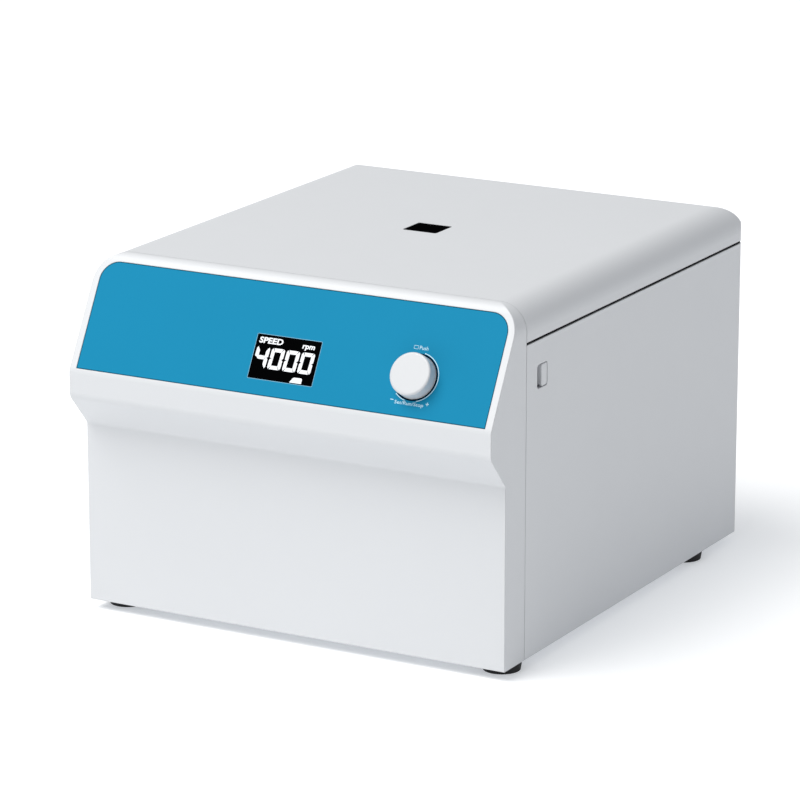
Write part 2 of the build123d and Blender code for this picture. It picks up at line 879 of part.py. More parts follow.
post_screw_length = 12.0
with BuildPart() as post_screws:
    with BuildSketch(Plane.XY.offset(base_z)):
        with Locations((0, rotor_y)):
            with GridLocations(2 * motor_post_half, 2 * motor_post_half, 2, 2):
                Circle(pan_head_radius)
    extrude(amount=-pan_head)
    with BuildSketch(Plane.XY.offset(base_z)):
        with Locations((0, rotor_y)):
            with GridLocations(2 * motor_post_half, 2 * motor_post_half, 2, 2):
                Circle(m4_radius)
    extrude(amount=post_screw_length)
post_screws.part.label = "post_screws"
export_step(post_screws.part, "parts/post_screws.step")

with BuildPart() as vibration_mounts:
    with Locations((0, rotor_y, 0)):
        with GridLocations(2 * motor_post_half, 2 * motor_post_half, 2, 2):
            with Locations((0, 0, post_top + mount_height / 2)):
                Cylinder(mount_radius, mount_height)
                Torus(mount_radius + mount_waist_reach, mount_waist, mode=Mode.SUBTRACT)
vibration_mounts.part.label = "vibration_mounts"
export_step(vibration_mounts.part, "parts/vibration_mounts.step")

with BuildPart() as motor_plate:
    with BuildSketch(Plane.XY.offset(plate_z)):
        with Locations((0, rotor_y)):
            RectangleRounded(plate_size, plate_size, plate_corner)
            Circle(bearing_radius, mode=Mode.SUBTRACT)
            with PolarLocations(motor_screw_radius, 4, start_angle=45):
                Circle(m4_radius + screw_gap, mode=Mode.SUBTRACT)
            with PolarLocations(motor_radius + plate_hole_reach, 4):
                Circle(plate_hole_radius, mode=Mode.SUBTRACT)
    extrude(amount=plate_thickness)
motor_plate.part.label = "motor_plate"
export_step(motor_plate.part, "parts/motor_plate.step")

with BuildPart() as motor_housing:
    with BuildSketch(rotor_plane):
        with BuildLine():
            Polyline(
                (bearing_radius + running_gap, motor_low),
                (motor_radius, motor_low),
                (motor_radius, plate_z),
                (bearing_radius + running_gap, plate_z),
                (bearing_radius + running_gap, plate_z - bearing_seat),
                (bearing_hub, plate_z - bearing_seat),
                (bearing_hub, plate_z - end_wall),
                (motor_radius - motor_wall, plate_z - end_wall),
                (motor_radius - motor_wall, motor_low + end_wall),
                (bearing_hub, motor_low + end_wall),
                (bearing_hub, motor_low + bearing_seat),
                (bearing_radius + running_gap, motor_low + bearing_seat),
                close=True,
            )
        make_face()
    revolve(axis=rotor_axis)
    with BuildSketch(Plane.XY.offset(plate_z)):
        with Locations((0, rotor_y)):
            with PolarLocations(motor_screw_radius, 4, start_angle=45):
                Circle(m4_radius + screw_gap)
    extrude(amount=-end_wall, mode=Mode.SUBTRACT)
motor_housing.part.label = "motor_housing"
export_step(motor_housing.part, "parts/motor_housing.step")

with BuildPart() as motor_screws:
    with BuildSketch(Plane.XY.offset(plate_z + plate_thickness)):
        with Locations((0, rotor_y)):
            with PolarLocations(motor_screw_radius, 4, start_angle=45):
                Circle(pan_head_radius)
    extrude(amount=pan_head)
    with BuildSketch(Plane.XY.offset(plate_z + plate_thickness)):
        with Locations((0, rotor_y)):
            with PolarLocations(motor_screw_radius, 4, start_angle=45):
                Circle(m4_radius)
    extrude(amount=-plate_thickness - end_wall)
motor_screws.part.label = "motor_screws"
export_step(motor_screws.part, "parts/motor_screws.step")

bearing_shim = 0.5
bearing_low = motor_low + bearing_shim
bearing_high = plate_z - bearing_shim - bearing_height
with BuildPart() as motor_bearings:
    for level in (bearing_low, bearing_high):
        with BuildSketch(Plane.XY.offset(level)):
            with Locations((0, rotor_y)):
                Circle(bearing_radius)
                Circle(shaft_radius + running_gap, mode=Mode.SUBTRACT)
        extrude(amount=bearing_height)
motor_bearings.part.label = "motor_bearings"
export_step(motor_bearings.part, "parts/motor_bearings.step")

stator_mid = (motor_low + plate_z) / 2
slot_count = 12
winding_slot_length = 8.0
winding_slot_width = 4.0
winding_slot_reach = 5.0
with BuildPart() as motor_stator:
    with BuildSketch(Plane.XY.offset(stator_mid - stator_height / 2)):
        with Locations((0, rotor_y)):
            Circle(motor_radius - motor_wall - running_gap)
            Circle(stator_inner, mode=Mode.SUBTRACT)
            with PolarLocations(stator_inner + winding_slot_reach, slot_count):
                SlotOverall(winding_slot_length, winding_slot_width, mode=Mode.SUBTRACT)
    extrude(amount=stator_height)
motor_stator.part.label = "motor_stator"
export_step(motor_stator.part, "parts/motor_stator.step")

boot_flange = 18.0
boot_inner = 9.0
boot_wall = 2.0
boot_gap = 0.1
boot_top = floor_z - bowl_sheet - boot_gap
with BuildPart() as shaft_boot:
    with BuildSketch(rotor_plane):
        with BuildLine():
            Polyline(
                (boot_inner, plate_z + plate_thickness),
                (boot_flange, plate_z + plate_thickness),
                (boot_flange, plate_z + plate_thickness + boot_wall),
                (boot_inner + boot_wall, plate_z + plate_thickness + boot_wall),
                (boot_inner + boot_wall, boot_top - boot_wall),
                (boot_flange, boot_top - boot_wall),
                (boot_flange, boot_top),
                (boot_inner, boot_top),
                close=True,
            )
        make_face()
    revolve(axis=rotor_axis)
shaft_boot.part.label = "shaft_boot"
export_step(shaft_boot.part, "parts/shaft_boot.step")

# Rotor: shaft, armature, fixed-angle rotor with pockets drilled across its cone, and nut
lean_sin = sin(radians(pocket_angle))
lean_cos = cos(radians(pocket_angle))
pocket_foot_z = rotor_z + pocket_wall + pocket_radius * lean_sin
cone_half = pocket_radius + pocket_wall
pocket_foot_radius = chamber_radius - rotor_side_gap - cone_half * lean_cos
mouth_radius = pocket_foot_radius - pocket_length * lean_sin
mouth_z = pocket_foot_z + pocket_length * lean_cos
hub_lift = 4.0
hub_low = rotor_z + hub_lift
hub_top_radius = 27.0
hub_top = mouth_z - (mouth_radius - hub_top_radius) * lean_sin / lean_cos
collar_lift = 1.8
collar_low = floor_z + collar_lift
collar_width = 9.0
nut_body_radius = 14.0
nut_body_height = 15.0
nut_grip_count = 8
nut_grip_radius = 3.0
nut_grip_reach = 1.5
nut_chamfer = 1.0
nut_gap = 0.2
shaft_stub = 11.0
shaft_chamfer = 1.0
shaft_fit = 0.05
shaft_top = hub_top + shaft_stub
web_round = 3.0
foot_round = 6.0
belly_round = 10.0
rim_round = 3.0
hub_round = 2.0

with BuildPart() as motor_shaft:
    with BuildSketch(rotor_plane):
        with BuildLine():
            Polyline(
                (0, bearing_low),
                (shaft_radius, bearing_low),
                (shaft_radius, collar_low),
                (collar_width, collar_low),
                (collar_width, hub_low),
                (shaft_radius, hub_low),
                (shaft_radius, shaft_top - shaft_chamfer),
                (shaft_radius - shaft_chamfer, shaft_top),
                (0, shaft_top),
                close=True,
            )
        make_face()
    revolve(axis=rotor_axis)
motor_shaft.part.label = "motor_shaft"
export_step(motor_shaft.part, "parts/motor_shaft.step")

bar_count = 10
bar_inset = 3.0
bar_radius = 1.6
with BuildPart() as motor_armature:
    with BuildSketch(Plane.XY.offset(stator_mid - armature_height / 2)):
        with Locations((0, rotor_y)):
            Circle(armature_radius)
            Circle(shaft_radius + running_gap, mode=Mode.SUBTRACT)
            with PolarLocations(armature_radius - bar_inset, bar_count):
                Circle(bar_radius, mode=Mode.SUBTRACT)
    extrude(amount=armature_height)
motor_armature.part.label = "motor_armature"
export_step(motor_armature.part, "parts/motor_armature.step")

with BuildPart() as angle_rotor:
    with BuildSketch(rotor_plane):
        with BuildLine():
            FilletPolyline(
                (shaft_radius + shaft_fit, hub_low),
                (hub_radius, hub_low),
                (hub_radius, hub_top - rotor_web),
                (
                    mouth_radius - cone_half * lean_cos
                    + (mouth_z - cone_half * lean_sin - hub_top + rotor_web) * lean_sin / lean_cos,
                    hub_top - rotor_web,
                ),
                (
                    pocket_foot_radius - cone_half * lean_cos
                    + (pocket_foot_z - cone_half * lean_sin - rotor_z) * lean_sin / lean_cos,
                    rotor_z,
                ),
                (pocket_foot_radius, rotor_z),
                (
                    pocket_foot_radius + cone_half * lean_cos,
                    pocket_foot_z + cone_half * lean_sin,
                ),
                (mouth_radius + cone_half * lean_cos, mouth_z + cone_half * lean_sin),
                (hub_top_radius, hub_top),
                (shaft_radius + shaft_fit, hub_top),
                radius=[0, 0, web_round, web_round, 0, foot_round, belly_round, rim_round, hub_round, 0],
                close=True,
            )
        make_face()
    revolve(axis=rotor_axis)
    for turn in range(tube_count):
        angle = radians(360 / tube_count * turn)
        mouth_plane = Plane(
            origin=(
                mouth_radius * cos(angle),
                rotor_y + mouth_radius * sin(angle),
                mouth_z,
            ),
            x_dir=(-sin(angle), cos(angle), 0),
            z_dir=(-lean_sin * cos(angle), -lean_sin * sin(angle), lean_cos),
        )
        with BuildSketch(mouth_plane.offset(cone_half)):
            Circle(pocket_radius)
        extrude(amount=-pocket_length - cone_half, mode=Mode.SUBTRACT)
angle_rotor.part.label = "angle_rotor"
export_step(angle_rotor.part, "parts/angle_rotor.step")

with BuildPart() as rotor_nut:
    with BuildSketch(Plane.XY.offset(hub_top)):
        with Locations((0, rotor_y)):
            Circle(nut_body_radius)
            with PolarLocations(nut_body_radius + nut_grip_reach, nut_grip_count):
                Circle(nut_grip_radius, mode=Mode.SUBTRACT)
    extrude(amount=nut_body_height)
    with BuildSketch(Plane.XY.offset(hub_top)):
        with Locations((0, rotor_y)):
            Circle(shaft_radius + shaft_fit)
    extrude(amount=shaft_top - hub_top + nut_gap, mode=Mode.SUBTRACT)
    chamfer(rotor_nut.faces().sort_by(Axis.Z)[-1].edges(), nut_chamfer)
rotor_nut.part.label = "rotor_nut"
export_step(rotor_nut.part, "parts/rotor_nut.step")

# Lid shell: a moulded pan with rounded top edges, a sight opening and hinge knuckles
lid_start_y = seam_y + fit_gap
liner_top = liner_z + liner_thickness
lid_inner_top = top_z - lid_wall
lid_boss_radius = 4.0
lid_boss_hole_depth = 9.0
window_flange = 3.0
window_flange_thickness = 2.0
knuckle_end = 10.0
knuckle_gap = 0.3
lug_height = 5.0
lid_edge_extra = 0.5
liner_screw_side = 22.0
liner_screw_front = 45.0
liner_screw_rear = 20.0
striker_screw_half = 12.0
liner_spots = [
    (side * (half_width - liner_screw_side), y)
    for side in (-1, 1)
    for y in (front_y + liner_screw_front, rear_y - liner_screw_rear)
]
striker_spots = [(side * striker_screw_half, front_y + striker_depth) for side in (-1, 1)]


def lid_block(inset):
    """Solid block of the lid, drawn inside its skin by the inset, open downwards."""
    radius = top_edge_radius + lid_edge_extra - inset
    half = half_width - inset
    with BuildPart() as block:
        with BuildSketch(Plane.XY.offset(lid_z - inset)):
            with Locations((0, (lid_start_y + rear_y) / 2)):
                Rectangle(2 * half, rear_y - lid_start_y - 2 * inset)
        extrude(amount=top_z - lid_z)
        top_edges = block.faces().sort_by(Axis.Z)[-1].edges()
        fillet(top_edges.sort_by(Axis.Y)[1:], radius)
        with BuildSketch(Plane.XY.offset(lid_z - inset - 1)):
            add(case_plan(inset, lid_start_y - 1))
        extrude(amount=top_z, mode=Mode.INTERSECT)
    return block.part


lid_outer = lid_block(0)
lid_inner = lid_block(lid_wall)
with BuildPart() as lid_shell:
    add(lid_outer)
    add(lid_inner, mode=Mode.SUBTRACT)
    # Bosses that hold the liner and the striker
    with BuildSketch(Plane.XY.offset(liner_top + 0.1)):
        with Locations(*liner_spots, *striker_spots):
            Circle(lid_boss_radius)
    extrude(amount=lid_inner_top - liner_top)
    with BuildSketch(Plane.XY.offset(liner_top)):
        with Locations(*liner_spots, *striker_spots):
            Circle(boss_hole)
    extrude(amount=lid_boss_hole_depth, mode=Mode.SUBTRACT)
    with BuildSketch(Plane.XY.offset(top_z + 1)):
        with Locations((0, rotor_y)):
            RectangleRounded(window_width, window_length, window_corner)
    extrude(amount=-lid_wall - 2, mode=Mode.SUBTRACT)
    # Moulded knuckles on the back
    for side in (-1, 1):
        with BuildSketch(Plane.YZ.offset(side * hinge_x)):
            with Locations((hinge_y, hinge_z)):
                Circle(knuckle_radius)
            with BuildLine():
                Polyline(
                    (rear_y - 1, lid_z),
                    (hinge_y, lid_z),
                    (hinge_y, hinge_z + lug_height - 1),
                    (rear_y - 1, hinge_z + lug_height),
                    close=True,
                )
            make_face()
            with Locations((hinge_y, hinge_z)):
                Circle(hinge_pin_radius + 2 * running_gap, mode=Mode.SUBTRACT)
        extrude(amount=hinge_width / 2 - knuckle_end - knuckle_gap, both=True)
lid_shell.part.label = "lid_shell"
export_step(lid_shell.part, "parts/lid_shell.step")

with BuildPart() as lid_window:
    with BuildSketch(Plane.XY.offset(lid_inner_top - 0.1)):
        with Locations((0, rotor_y)):
            RectangleRounded(
                window_width - 2 * window_gap,
                window_length - 2 * window_gap,
                window_corner - window_gap,
            )
    extrude(amount=lid_wall - 0.1)
    with BuildSketch(Plane.XY.offset(lid_inner_top - 0.1)):
        with Locations((0, rotor_y)):
            Rectangle(window_width + 2 * window_flange, window_length + 2 * window_flange)
    extrude(amount=-window_flange_thickness)
lid_window.part.label = "lid_window"
export_step(lid_window.part, "parts/lid_window.step")

# Lid liner: an inner pan with a dome over the rotor and a sight hole
dome_radius = 104.0
dome_top = liner_z + liner_dome_height
dome_draft = 6.0
dome_outer_round = 4.0
dome_inner_round = 2.0
with BuildPart() as lid_liner:
    with BuildSketch(Plane.XY.offset(liner_z)):
        with Locations((0, (lid_start_y + rear_y) / 2)):
            Rectangle(
                2 * (half_width - lid_wall - fit_gap),
                rear_y - lid_start_y - 2 * (lid_wall + fit_gap),
            )
        with Locations((0, rotor_y)):
            Circle(dome_radius, mode=Mode.SUBTRACT)
        with Locations(*liner_spots, *striker_spots):
            Circle(boss_hole, mode=Mode.SUBTRACT)
    extrude(amount=liner_thickness)
    liner_verticals = lid_liner.edges().filter_by(Axis.Z)
    fillet(liner_verticals.sort_by(Axis.Y)[-2:], inner_corner)
    with BuildSketch(rotor_plane):
        with BuildLine():
            FilletPolyline(
                (dome_radius, liner_z),
                (dome_radius + liner_thickness, liner_z),
                (dome_radius - dome_draft + liner_thickness, dome_top + liner_thickness),
                (0, dome_top + liner_thickness),
                (0, dome_top),
                (dome_radius - dome_draft, dome_top),
                radius=[0, 0, dome_outer_round, 0, 0, dome_inner_round],
                close=True,
            )
        make_face()
    revolve(axis=rotor_axis)
    with BuildSketch(Plane.XY.offset(dome_top - 1)):
        with Locations((0, rotor_y)):
            Rectangle(window_width, window_length)
    extrude(amount=liner_thickness + 2, mode=Mode.SUBTRACT)
lid_liner.part.label = "lid_liner"
export_step(lid_liner.part, "parts/lid_liner.step")

seal_inset = 0.5
seal_gap = 0.3
with BuildPart() as lid_seal:
    with BuildSketch(Plane.XY.offset(lid_z)):
        add(case_plan(seal_inset, lid_start_y + seal_inset))
        with Locations((0, (lid_start_y + rear_y) / 2)):
            Rectangle(2 * (half_width - lid_wall), rear_y - lid_start_y - 2 * lid_wall, mode=Mode.SUBTRACT)
    extrude(amount=-lid_line + seal_gap)
lid_seal.part.label = "lid_seal"
export_step(lid_seal.part, "parts/lid_seal.step")

with BuildPart() as liner_screws:
    with BuildSketch(Plane.XY.offset(liner_z)):
        with Locations(*liner_spots):
            Circle(m3_head_radius)
    extrude(amount=-m3_head)
    with BuildSketch(Plane.XY.offset(liner_z)):
        with Locations(*liner_spots):
            Circle(m3_radius)
    extrude(amount=liner_thickness + lid_boss_hole_depth - screw_end)
liner_screws.part.label = "liner_screws"
export_step(liner_screws.part, "parts/liner_screws.step")

# Striker: a steel bail on a flange under the liner, which the bolt runs through
striker_thickness = 3.0
striker_width = 12.6
striker_flange_x = 34.0
striker_flange_y = 15.0
striker_flange = 2.5
striker_corner = 2.0
striker_below = 7.0
striker_low = bolt_z - striker_below
bail_room = 8.2
bail_drop = 4.0
striker_y = front_y + striker_depth
with BuildPart() as striker:
    with BuildSketch(Plane.XY.offset(liner_z)):
        with Locations((0, striker_y)):
            RectangleRounded(striker_flange_x, striker_flange_y, striker_corner)
        with Locations(*striker_spots):
            Circle(boss_hole, mode=Mode.SUBTRACT)
    extrude(amount=-striker_flange)
    with BuildSketch(Plane.YZ):
        with BuildLine():
            FilletPolyline(
                (striker_y - striker_width / 2, liner_z - striker_flange),
                (striker_y - striker_width / 2, striker_low),
                (striker_y + striker_width / 2, striker_low),
                (striker_y + striker_width / 2, liner_z - striker_flange),
                radius=[0, striker_corner, striker_corner, 0],
                close=True,
            )
        make_face()
        with Locations((striker_y, bolt_z - bail_drop)):
            Rectangle(
                bail_room,
                liner_z - striker_flange - bolt_z + bail_drop,
                align=(Align.CENTER, Align.MIN),
                mode=Mode.SUBTRACT,
            )
    extrude(amount=striker_thickness / 2, both=True)
striker.part.label = "striker"
export_step(striker.part, "parts/striker.step")

with BuildPart() as striker_screws:
    with BuildSketch(Plane.XY.offset(liner_z - striker_flange)):
        with Locations(*striker_spots):
            Circle(m3_head_radius)
    extrude(amount=-m3_head)
    with BuildSketch(Plane.XY.offset(liner_z - striker_flange)):
        with Locations(*striker_spots):
            Circle(m3_radius)
    extrude(amount=striker_flange + liner_thickness + lid_boss_hole_depth - screw_end)
striker_screws.part.label = "striker_screws"
export_step(striker_screws.part, "parts/striker_screws.step")

# Hinges on the back: a folded leaf with two knuckles round each of the lid's own
knuckle_root = 6.0
pin_head_radius = 2.6
pin_head = 1.2
leaf_top = hinge_z - knuckle_offset + fit_gap
leaf_low = leaf_top - hinge_leaf_height
hinge_screw_z = hinge_z - hinge_screw_drop
with BuildPart() as hinge_brackets:
    for side in (-1, 1):
        with BuildSketch(Plane.YZ.offset(side * hinge_x)):
            with BuildLine():
                Polyline(
                    (rear_y, leaf_low),
                    (rear_y + hinge_leaf, leaf_low),
                    (rear_y + hinge_leaf, leaf_top),
                    (rear_y, leaf_top),
                    close=True,
                )
            make_face()
        extrude(amount=hinge_width / 2, both=True)
        for end in (-1, 1):
            with BuildSketch(Plane.YZ.offset(side * hinge_x + end * (hinge_width - knuckle_end) / 2)):
                with Locations((hinge_y, hinge_z)):
                    Circle(knuckle_radius)
                with BuildLine():
                    Polyline(
                        (rear_y, leaf_top - knuckle_root),
                        (rear_y + hinge_leaf, leaf_top - knuckle_root),
                        (hinge_y + knuckle_radius * 0.7, hinge_z - knuckle_radius * 0.7),
                        (hinge_y, hinge_z),
                        (rear_y, hinge_z),
                        close=True,
                    )
                make_face()
                with Locations((hinge_y, hinge_z)):
                    Circle(hinge_pin_radius + running_gap, mode=Mode.SUBTRACT)
            extrude(amount=knuckle_end / 2, both=True)
        with BuildSketch(back_plane):
            with Locations((side * hinge_x, hinge_screw_z)):
                with GridLocations(2 * hinge_screw_half, 0, 2, 1):
                    Circle(boss_hole)
        extrude(amount=-hinge_leaf, mode=Mode.SUBTRACT)
hinge_brackets.part.label = "hinge_brackets"
export_step(hinge_brackets.part, "parts/hinge_brackets.step")

with BuildPart() as hinge_pins:
    for side in (-1, 1):
        with BuildSketch(Plane.YZ.offset(side * hinge_x)):
            with Locations((hinge_y, hinge_z)):
                Circle(hinge_pin_radius)
        extrude(amount=hinge_width / 2, both=True)
        for end in (-1, 1):
            with BuildSketch(Plane.YZ.offset(side * hinge_x + end * hinge_width / 2)):
                with Locations((hinge_y, hinge_z)):
                    Circle(pin_head_radius)
            extrude(amount=end * pin_head)
hinge_pins.part.label = "hinge_pins"
export_step(hinge_pins.part, "parts/hinge_pins.step")

hinge_nut_radius = 3.175
hinge_nut_height = 2.4
hinge_screw_plane = back_plane.offset(-hinge_leaf)
hinge_screw_reach = hinge_leaf + case_wall + hinge_nut_height + screw_end
hinge_screw_spots = [
    (side * hinge_x + end * hinge_screw_half, hinge_screw_z) for side in (-1, 1) for end in (-1, 1)
]
with BuildPart() as hinge_screws:
    with BuildSketch(hinge_screw_plane):
        with Locations(*hinge_screw_spots):
            Circle(m3_head_radius)
    extrude(amount=-m3_head)
    with BuildSketch(hinge_screw_plane):
        with Locations(*hinge_screw_spots):
            Circle(m3_radius)
    extrude(amount=hinge_screw_reach)
hinge_screws.part.label = "hinge_screws"
export_step(hinge_screws.part, "parts/hinge_screws.step")

with BuildPart() as hinge_nuts:
    with BuildSketch(back_plane.offset(case_wall)):
        with Locations(*hinge_screw_spots):
            RegularPolygon(hinge_nut_radius, 6)
            Circle(m3_radius + screw_gap, mode=Mode.SUBTRACT)
    extrude(amount=hinge_nut_height)
hinge_nuts.part.label = "hinge_nuts"
export_step(hinge_nuts.part, "parts/hinge_nuts.step")

# Lid lock under the deck: bracket, solenoid and bolt along X, and the lid's sensor
bracket_sheet = 2.0
bracket_gap = 0.1
bracket_top = deck_z - bracket_gap
bracket_low = bracket_top - bracket_sheet
bracket_left = -74.0
bracket_right = 52.0
bracket_front = 25.5
bracket_rear = 49.5
bolt_radius = 2.5
bolt_tip = -3.0
bolt_end = -64.0
bolt_travel = 10.0
ear_below = 8.0
ear_width = 9.6
ear_low = bolt_z - ear_below
near_ear_x = -29.0
far_ear_x = 5.0
solenoid_length = 38.0
solenoid_x = -53.0
solenoid_width = 23.0
solenoid_gap = 0.2
solenoid_below = 11.5
solenoid_height = bracket_low - solenoid_gap - bolt_z + solenoid_below
pad_thickness = 4.0
pad_x = -14.0
pad_height = 10.0
pad_margin = 0.6
pad_front = striker_y - bolt_radius
pad_rear = guide_y + guide_bore + pad_margin
bolt_chamfer = 1.2
tongue_room = 5.5

with BuildPart() as lock_bracket:
    with BuildSketch(Plane.XY.offset(bracket_low)):
        with Locations(((bracket_left + bracket_right) / 2, front_y + (bracket_front + bracket_rear) / 2)):
            Rectangle(bracket_right - bracket_left, bracket_rear - bracket_front)
        with Locations((0, front_y + (slot_front + slot_rear) / 2)):
            Rectangle(tongue_room, slot_rear - slot_front, mode=Mode.SUBTRACT)
        with Locations(*bracket_screw_spots):
            Circle(boss_hole, mode=Mode.SUBTRACT)
    extrude(amount=bracket_sheet)
    for ear_x, bore in ((near_ear_x, bolt_radius + running_gap), (far_ear_x, bolt_radius + fit_gap)):
        with BuildSketch(Plane.YZ.offset(ear_x)):
            with Locations((striker_y, (ear_low + bracket_low) / 2)):
                Rectangle(ear_width, bracket_low - ear_low)
            with Locations((striker_y, bolt_z)):
                Circle(bore, mode=Mode.SUBTRACT)
        extrude(amount=bracket_sheet / 2, both=True)
lock_bracket.part.label = "lock_bracket"
export_step(lock_bracket.part, "parts/lock_bracket.step")

with BuildPart() as lock_solenoid:
    with BuildSketch(Plane.YZ.offset(solenoid_x)):
        with Locations((striker_y, bracket_low - solenoid_gap - solenoid_height / 2)):
            Rectangle(solenoid_width, solenoid_height)
        with Locations((striker_y, bolt_z)):
            Circle(bolt_radius + running_gap, mode=Mode.SUBTRACT)
    extrude(amount=solenoid_length / 2, both=True)
lock_solenoid.part.label = "lock_solenoid"
export_step(lock_solenoid.part, "parts/lock_solenoid.step")

with BuildPart() as lock_bolt:
    with BuildSketch(Plane.YZ.offset(bolt_end)):
        with Locations((striker_y, bolt_z)):
            Circle(bolt_radius)
    extrude(amount=bolt_tip - bolt_end)
    chamfer(lock_bolt.faces().sort_by(Axis.X)[-1].edges(), bolt_chamfer)
    # Pad that the release tool pushes
    with BuildSketch(Plane.YZ.offset(pad_x)):
        with Locations(((pad_front + pad_rear) / 2, bolt_z)):
            Rectangle(pad_rear - pad_front, pad_height)
    extrude(amount=pad_thickness / 2, both=True)
lock_bolt.part.label = "lock_bolt"
export_step(lock_bolt.part, "parts/lock_bolt.step")

with BuildPart() as bracket_screws:
    with BuildSketch(Plane.XY.offset(deck_top)):
        with Locations(*bracket_screw_spots):
            Circle(m3_head_radius)
    extrude(amount=m3_head)
    with BuildSketch(Plane.XY.offset(deck_top)):
        with Locations(*bracket_screw_spots):
            Circle(m3_radius)
    extrude(amount=bracket_low - deck_top)
bracket_screws.part.label = "bracket_screws"
export_step(bracket_screws.part, "parts/bracket_screws.step")

sensor_x = 30.0
sensor_depth = 31.0
sensor_length = 14.0
sensor_width = 8.0
sensor_height = 6.0
with BuildPart() as lid_sensor:
    with BuildSketch(Plane.XY.offset(bracket_low - bracket_gap)):
        with Locations((sensor_x, front_y + sensor_depth)):
            Rectangle(sensor_length, sensor_width)
    extrude(amount=-sensor_height)
lid_sensor.part.label = "lid_sensor"
export_step(lid_sensor.part, "parts/lid_sensor.step")

# Power inlet with its fuse drawer, and the rocker switch, in the back
inlet_flange_x = 48.0
inlet_flange_z = 36.0
inlet_flange = 2.5
inlet_body = 21.0
socket_width = 24.6
socket_height = 16.6
socket_rise = 4.7
socket_corner = 1.0
socket_shoulder = 6.0
socket_step = 2.0
socket_z = inlet_z + socket_rise
socket_depth = 18.0
drawer_width = 25.0
drawer_height = 8.0
drawer_drop = 9.8
drawer_z = inlet_z - drawer_drop
drawer_gap = 0.2
drawer_length = 15.0
drawer_lip = 1.5
drawer_travel = 12.0
pin_length = 12.0
pin_thickness = 2.0
pin_width = 4.0
pin_side = 7.0
pin_rise = 2.0
inlet_corner = 3.0
inlet_face = back_plane.offset(-inlet_flange)

with BuildPart() as power_inlet:
    with BuildSketch(back_plane):
        with Locations((inlet_x, inlet_z)):
            RectangleRounded(inlet_flange_x, inlet_flange_z, inlet_corner)
    extrude(amount=-inlet_flange)
    with BuildSketch(back_plane):
        with Locations((inlet_x, inlet_z)):
            Rectangle(inlet_width, inlet_height)
    extrude(amount=inlet_body)
    with BuildSketch(inlet_face):
        with BuildLine():
            FilletPolyline(
                (inlet_x - socket_width / 2, socket_z - socket_height / 2),
                (inlet_x + socket_width / 2, socket_z - socket_height / 2),
                (inlet_x + socket_width / 2, socket_z + socket_step),
                (inlet_x + socket_width / 2 - socket_shoulder, socket_z + socket_height / 2),
                (inlet_x - socket_width / 2 + socket_shoulder, socket_z + socket_height / 2),
                (inlet_x - socket_width / 2, socket_z + socket_step),
                radius=socket_corner,
                close=True,
            )
        make_face()
    extrude(amount=socket_depth, mode=Mode.SUBTRACT)
    with BuildSketch(inlet_face):
        with Locations((inlet_x, drawer_z)):
            Rectangle(drawer_width, drawer_height)
    extrude(amount=socket_depth, mode=Mode.SUBTRACT)
    with BuildSketch(inlet_face):
        with Locations((inlet_x, inlet_z)):
            with GridLocations(inlet_screw_pitch, 0, 2, 1):
                Circle(boss_hole)
    extrude(amount=inlet_flange, mode=Mode.SUBTRACT)
power_inlet.part.label = "power_inlet"
export_step(power_inlet.part, "parts/power_inlet.step")

with BuildPart() as inlet_pins:
    with BuildSketch(inlet_face.offset(socket_depth)):
        with Locations(
            (inlet_x - pin_side, socket_z - pin_rise),
            (inlet_x + pin_side, socket_z - pin_rise),
            (inlet_x, socket_z + pin_rise),
        ):
            Rectangle(pin_thickness, pin_width)
    extrude(amount=-pin_length)
inlet_pins.part.label = "inlet_pins"
export_step(inlet_pins.part, "parts/inlet_pins.step")

with BuildPart() as inlet_screws:
    with BuildSketch(inlet_face):
        with Locations((inlet_x, inlet_z)):
            with GridLocations(inlet_screw_pitch, 0, 2, 1):
                Circle(m3_head_radius)
    extrude(amount=-m3_head)
    with BuildSketch(inlet_face):
        with Locations((inlet_x, inlet_z)):
            with GridLocations(inlet_screw_pitch, 0, 2, 1):
                Circle(m3_radius)
    extrude(amount=inlet_flange + case_wall + screw_end)
inlet_screws.part.label = "inlet_screws"
export_step(inlet_screws.part, "parts/inlet_screws.step")

fuse_radius = 2.6
fuse_length = 20.0
fuse_depth = 8.5
fuse_rise = 0.7
cradle_depth = 2.0
lip_side = 0.5
lip_corner = 0.8
fuse_y = rear_y + inlet_flange - fuse_depth
with BuildPart() as fuse_drawer:
    with BuildSketch(inlet_face):
        with Locations((inlet_x, drawer_z)):
            Rectangle(drawer_width - 2 * drawer_gap, drawer_height - 2 * drawer_gap)
    extrude(amount=drawer_length)
    with BuildSketch(inlet_face):
        with Locations((inlet_x, drawer_z)):
            RectangleRounded(drawer_width + 2 * lip_side, drawer_height - 2 * drawer_gap, lip_corner)
    extrude(amount=-drawer_lip)
    # Open cradle for the fuse
    with BuildSketch(Plane.XY.offset(drawer_z + drawer_height / 2)):
        with Locations((inlet_x, fuse_y)):
            Rectangle(fuse_length + 2 * fit_gap, 2 * (fuse_radius + drawer_gap))
    extrude(amount=-drawer_height / 2 - cradle_depth, mode=Mode.SUBTRACT)
fuse_drawer.part.label = "fuse_drawer"
export_step(fuse_drawer.part, "parts/fuse_drawer.step")

with BuildPart() as fuse:
    with BuildSketch(Plane.YZ.offset(inlet_x)):
        with Locations((fuse_y, drawer_z + fuse_rise)):
            Circle(fuse_radius)
    extrude(amount=fuse_length / 2, both=True)
fuse.part.label = "fuse"
export_step(fuse.part, "parts/fuse.step")

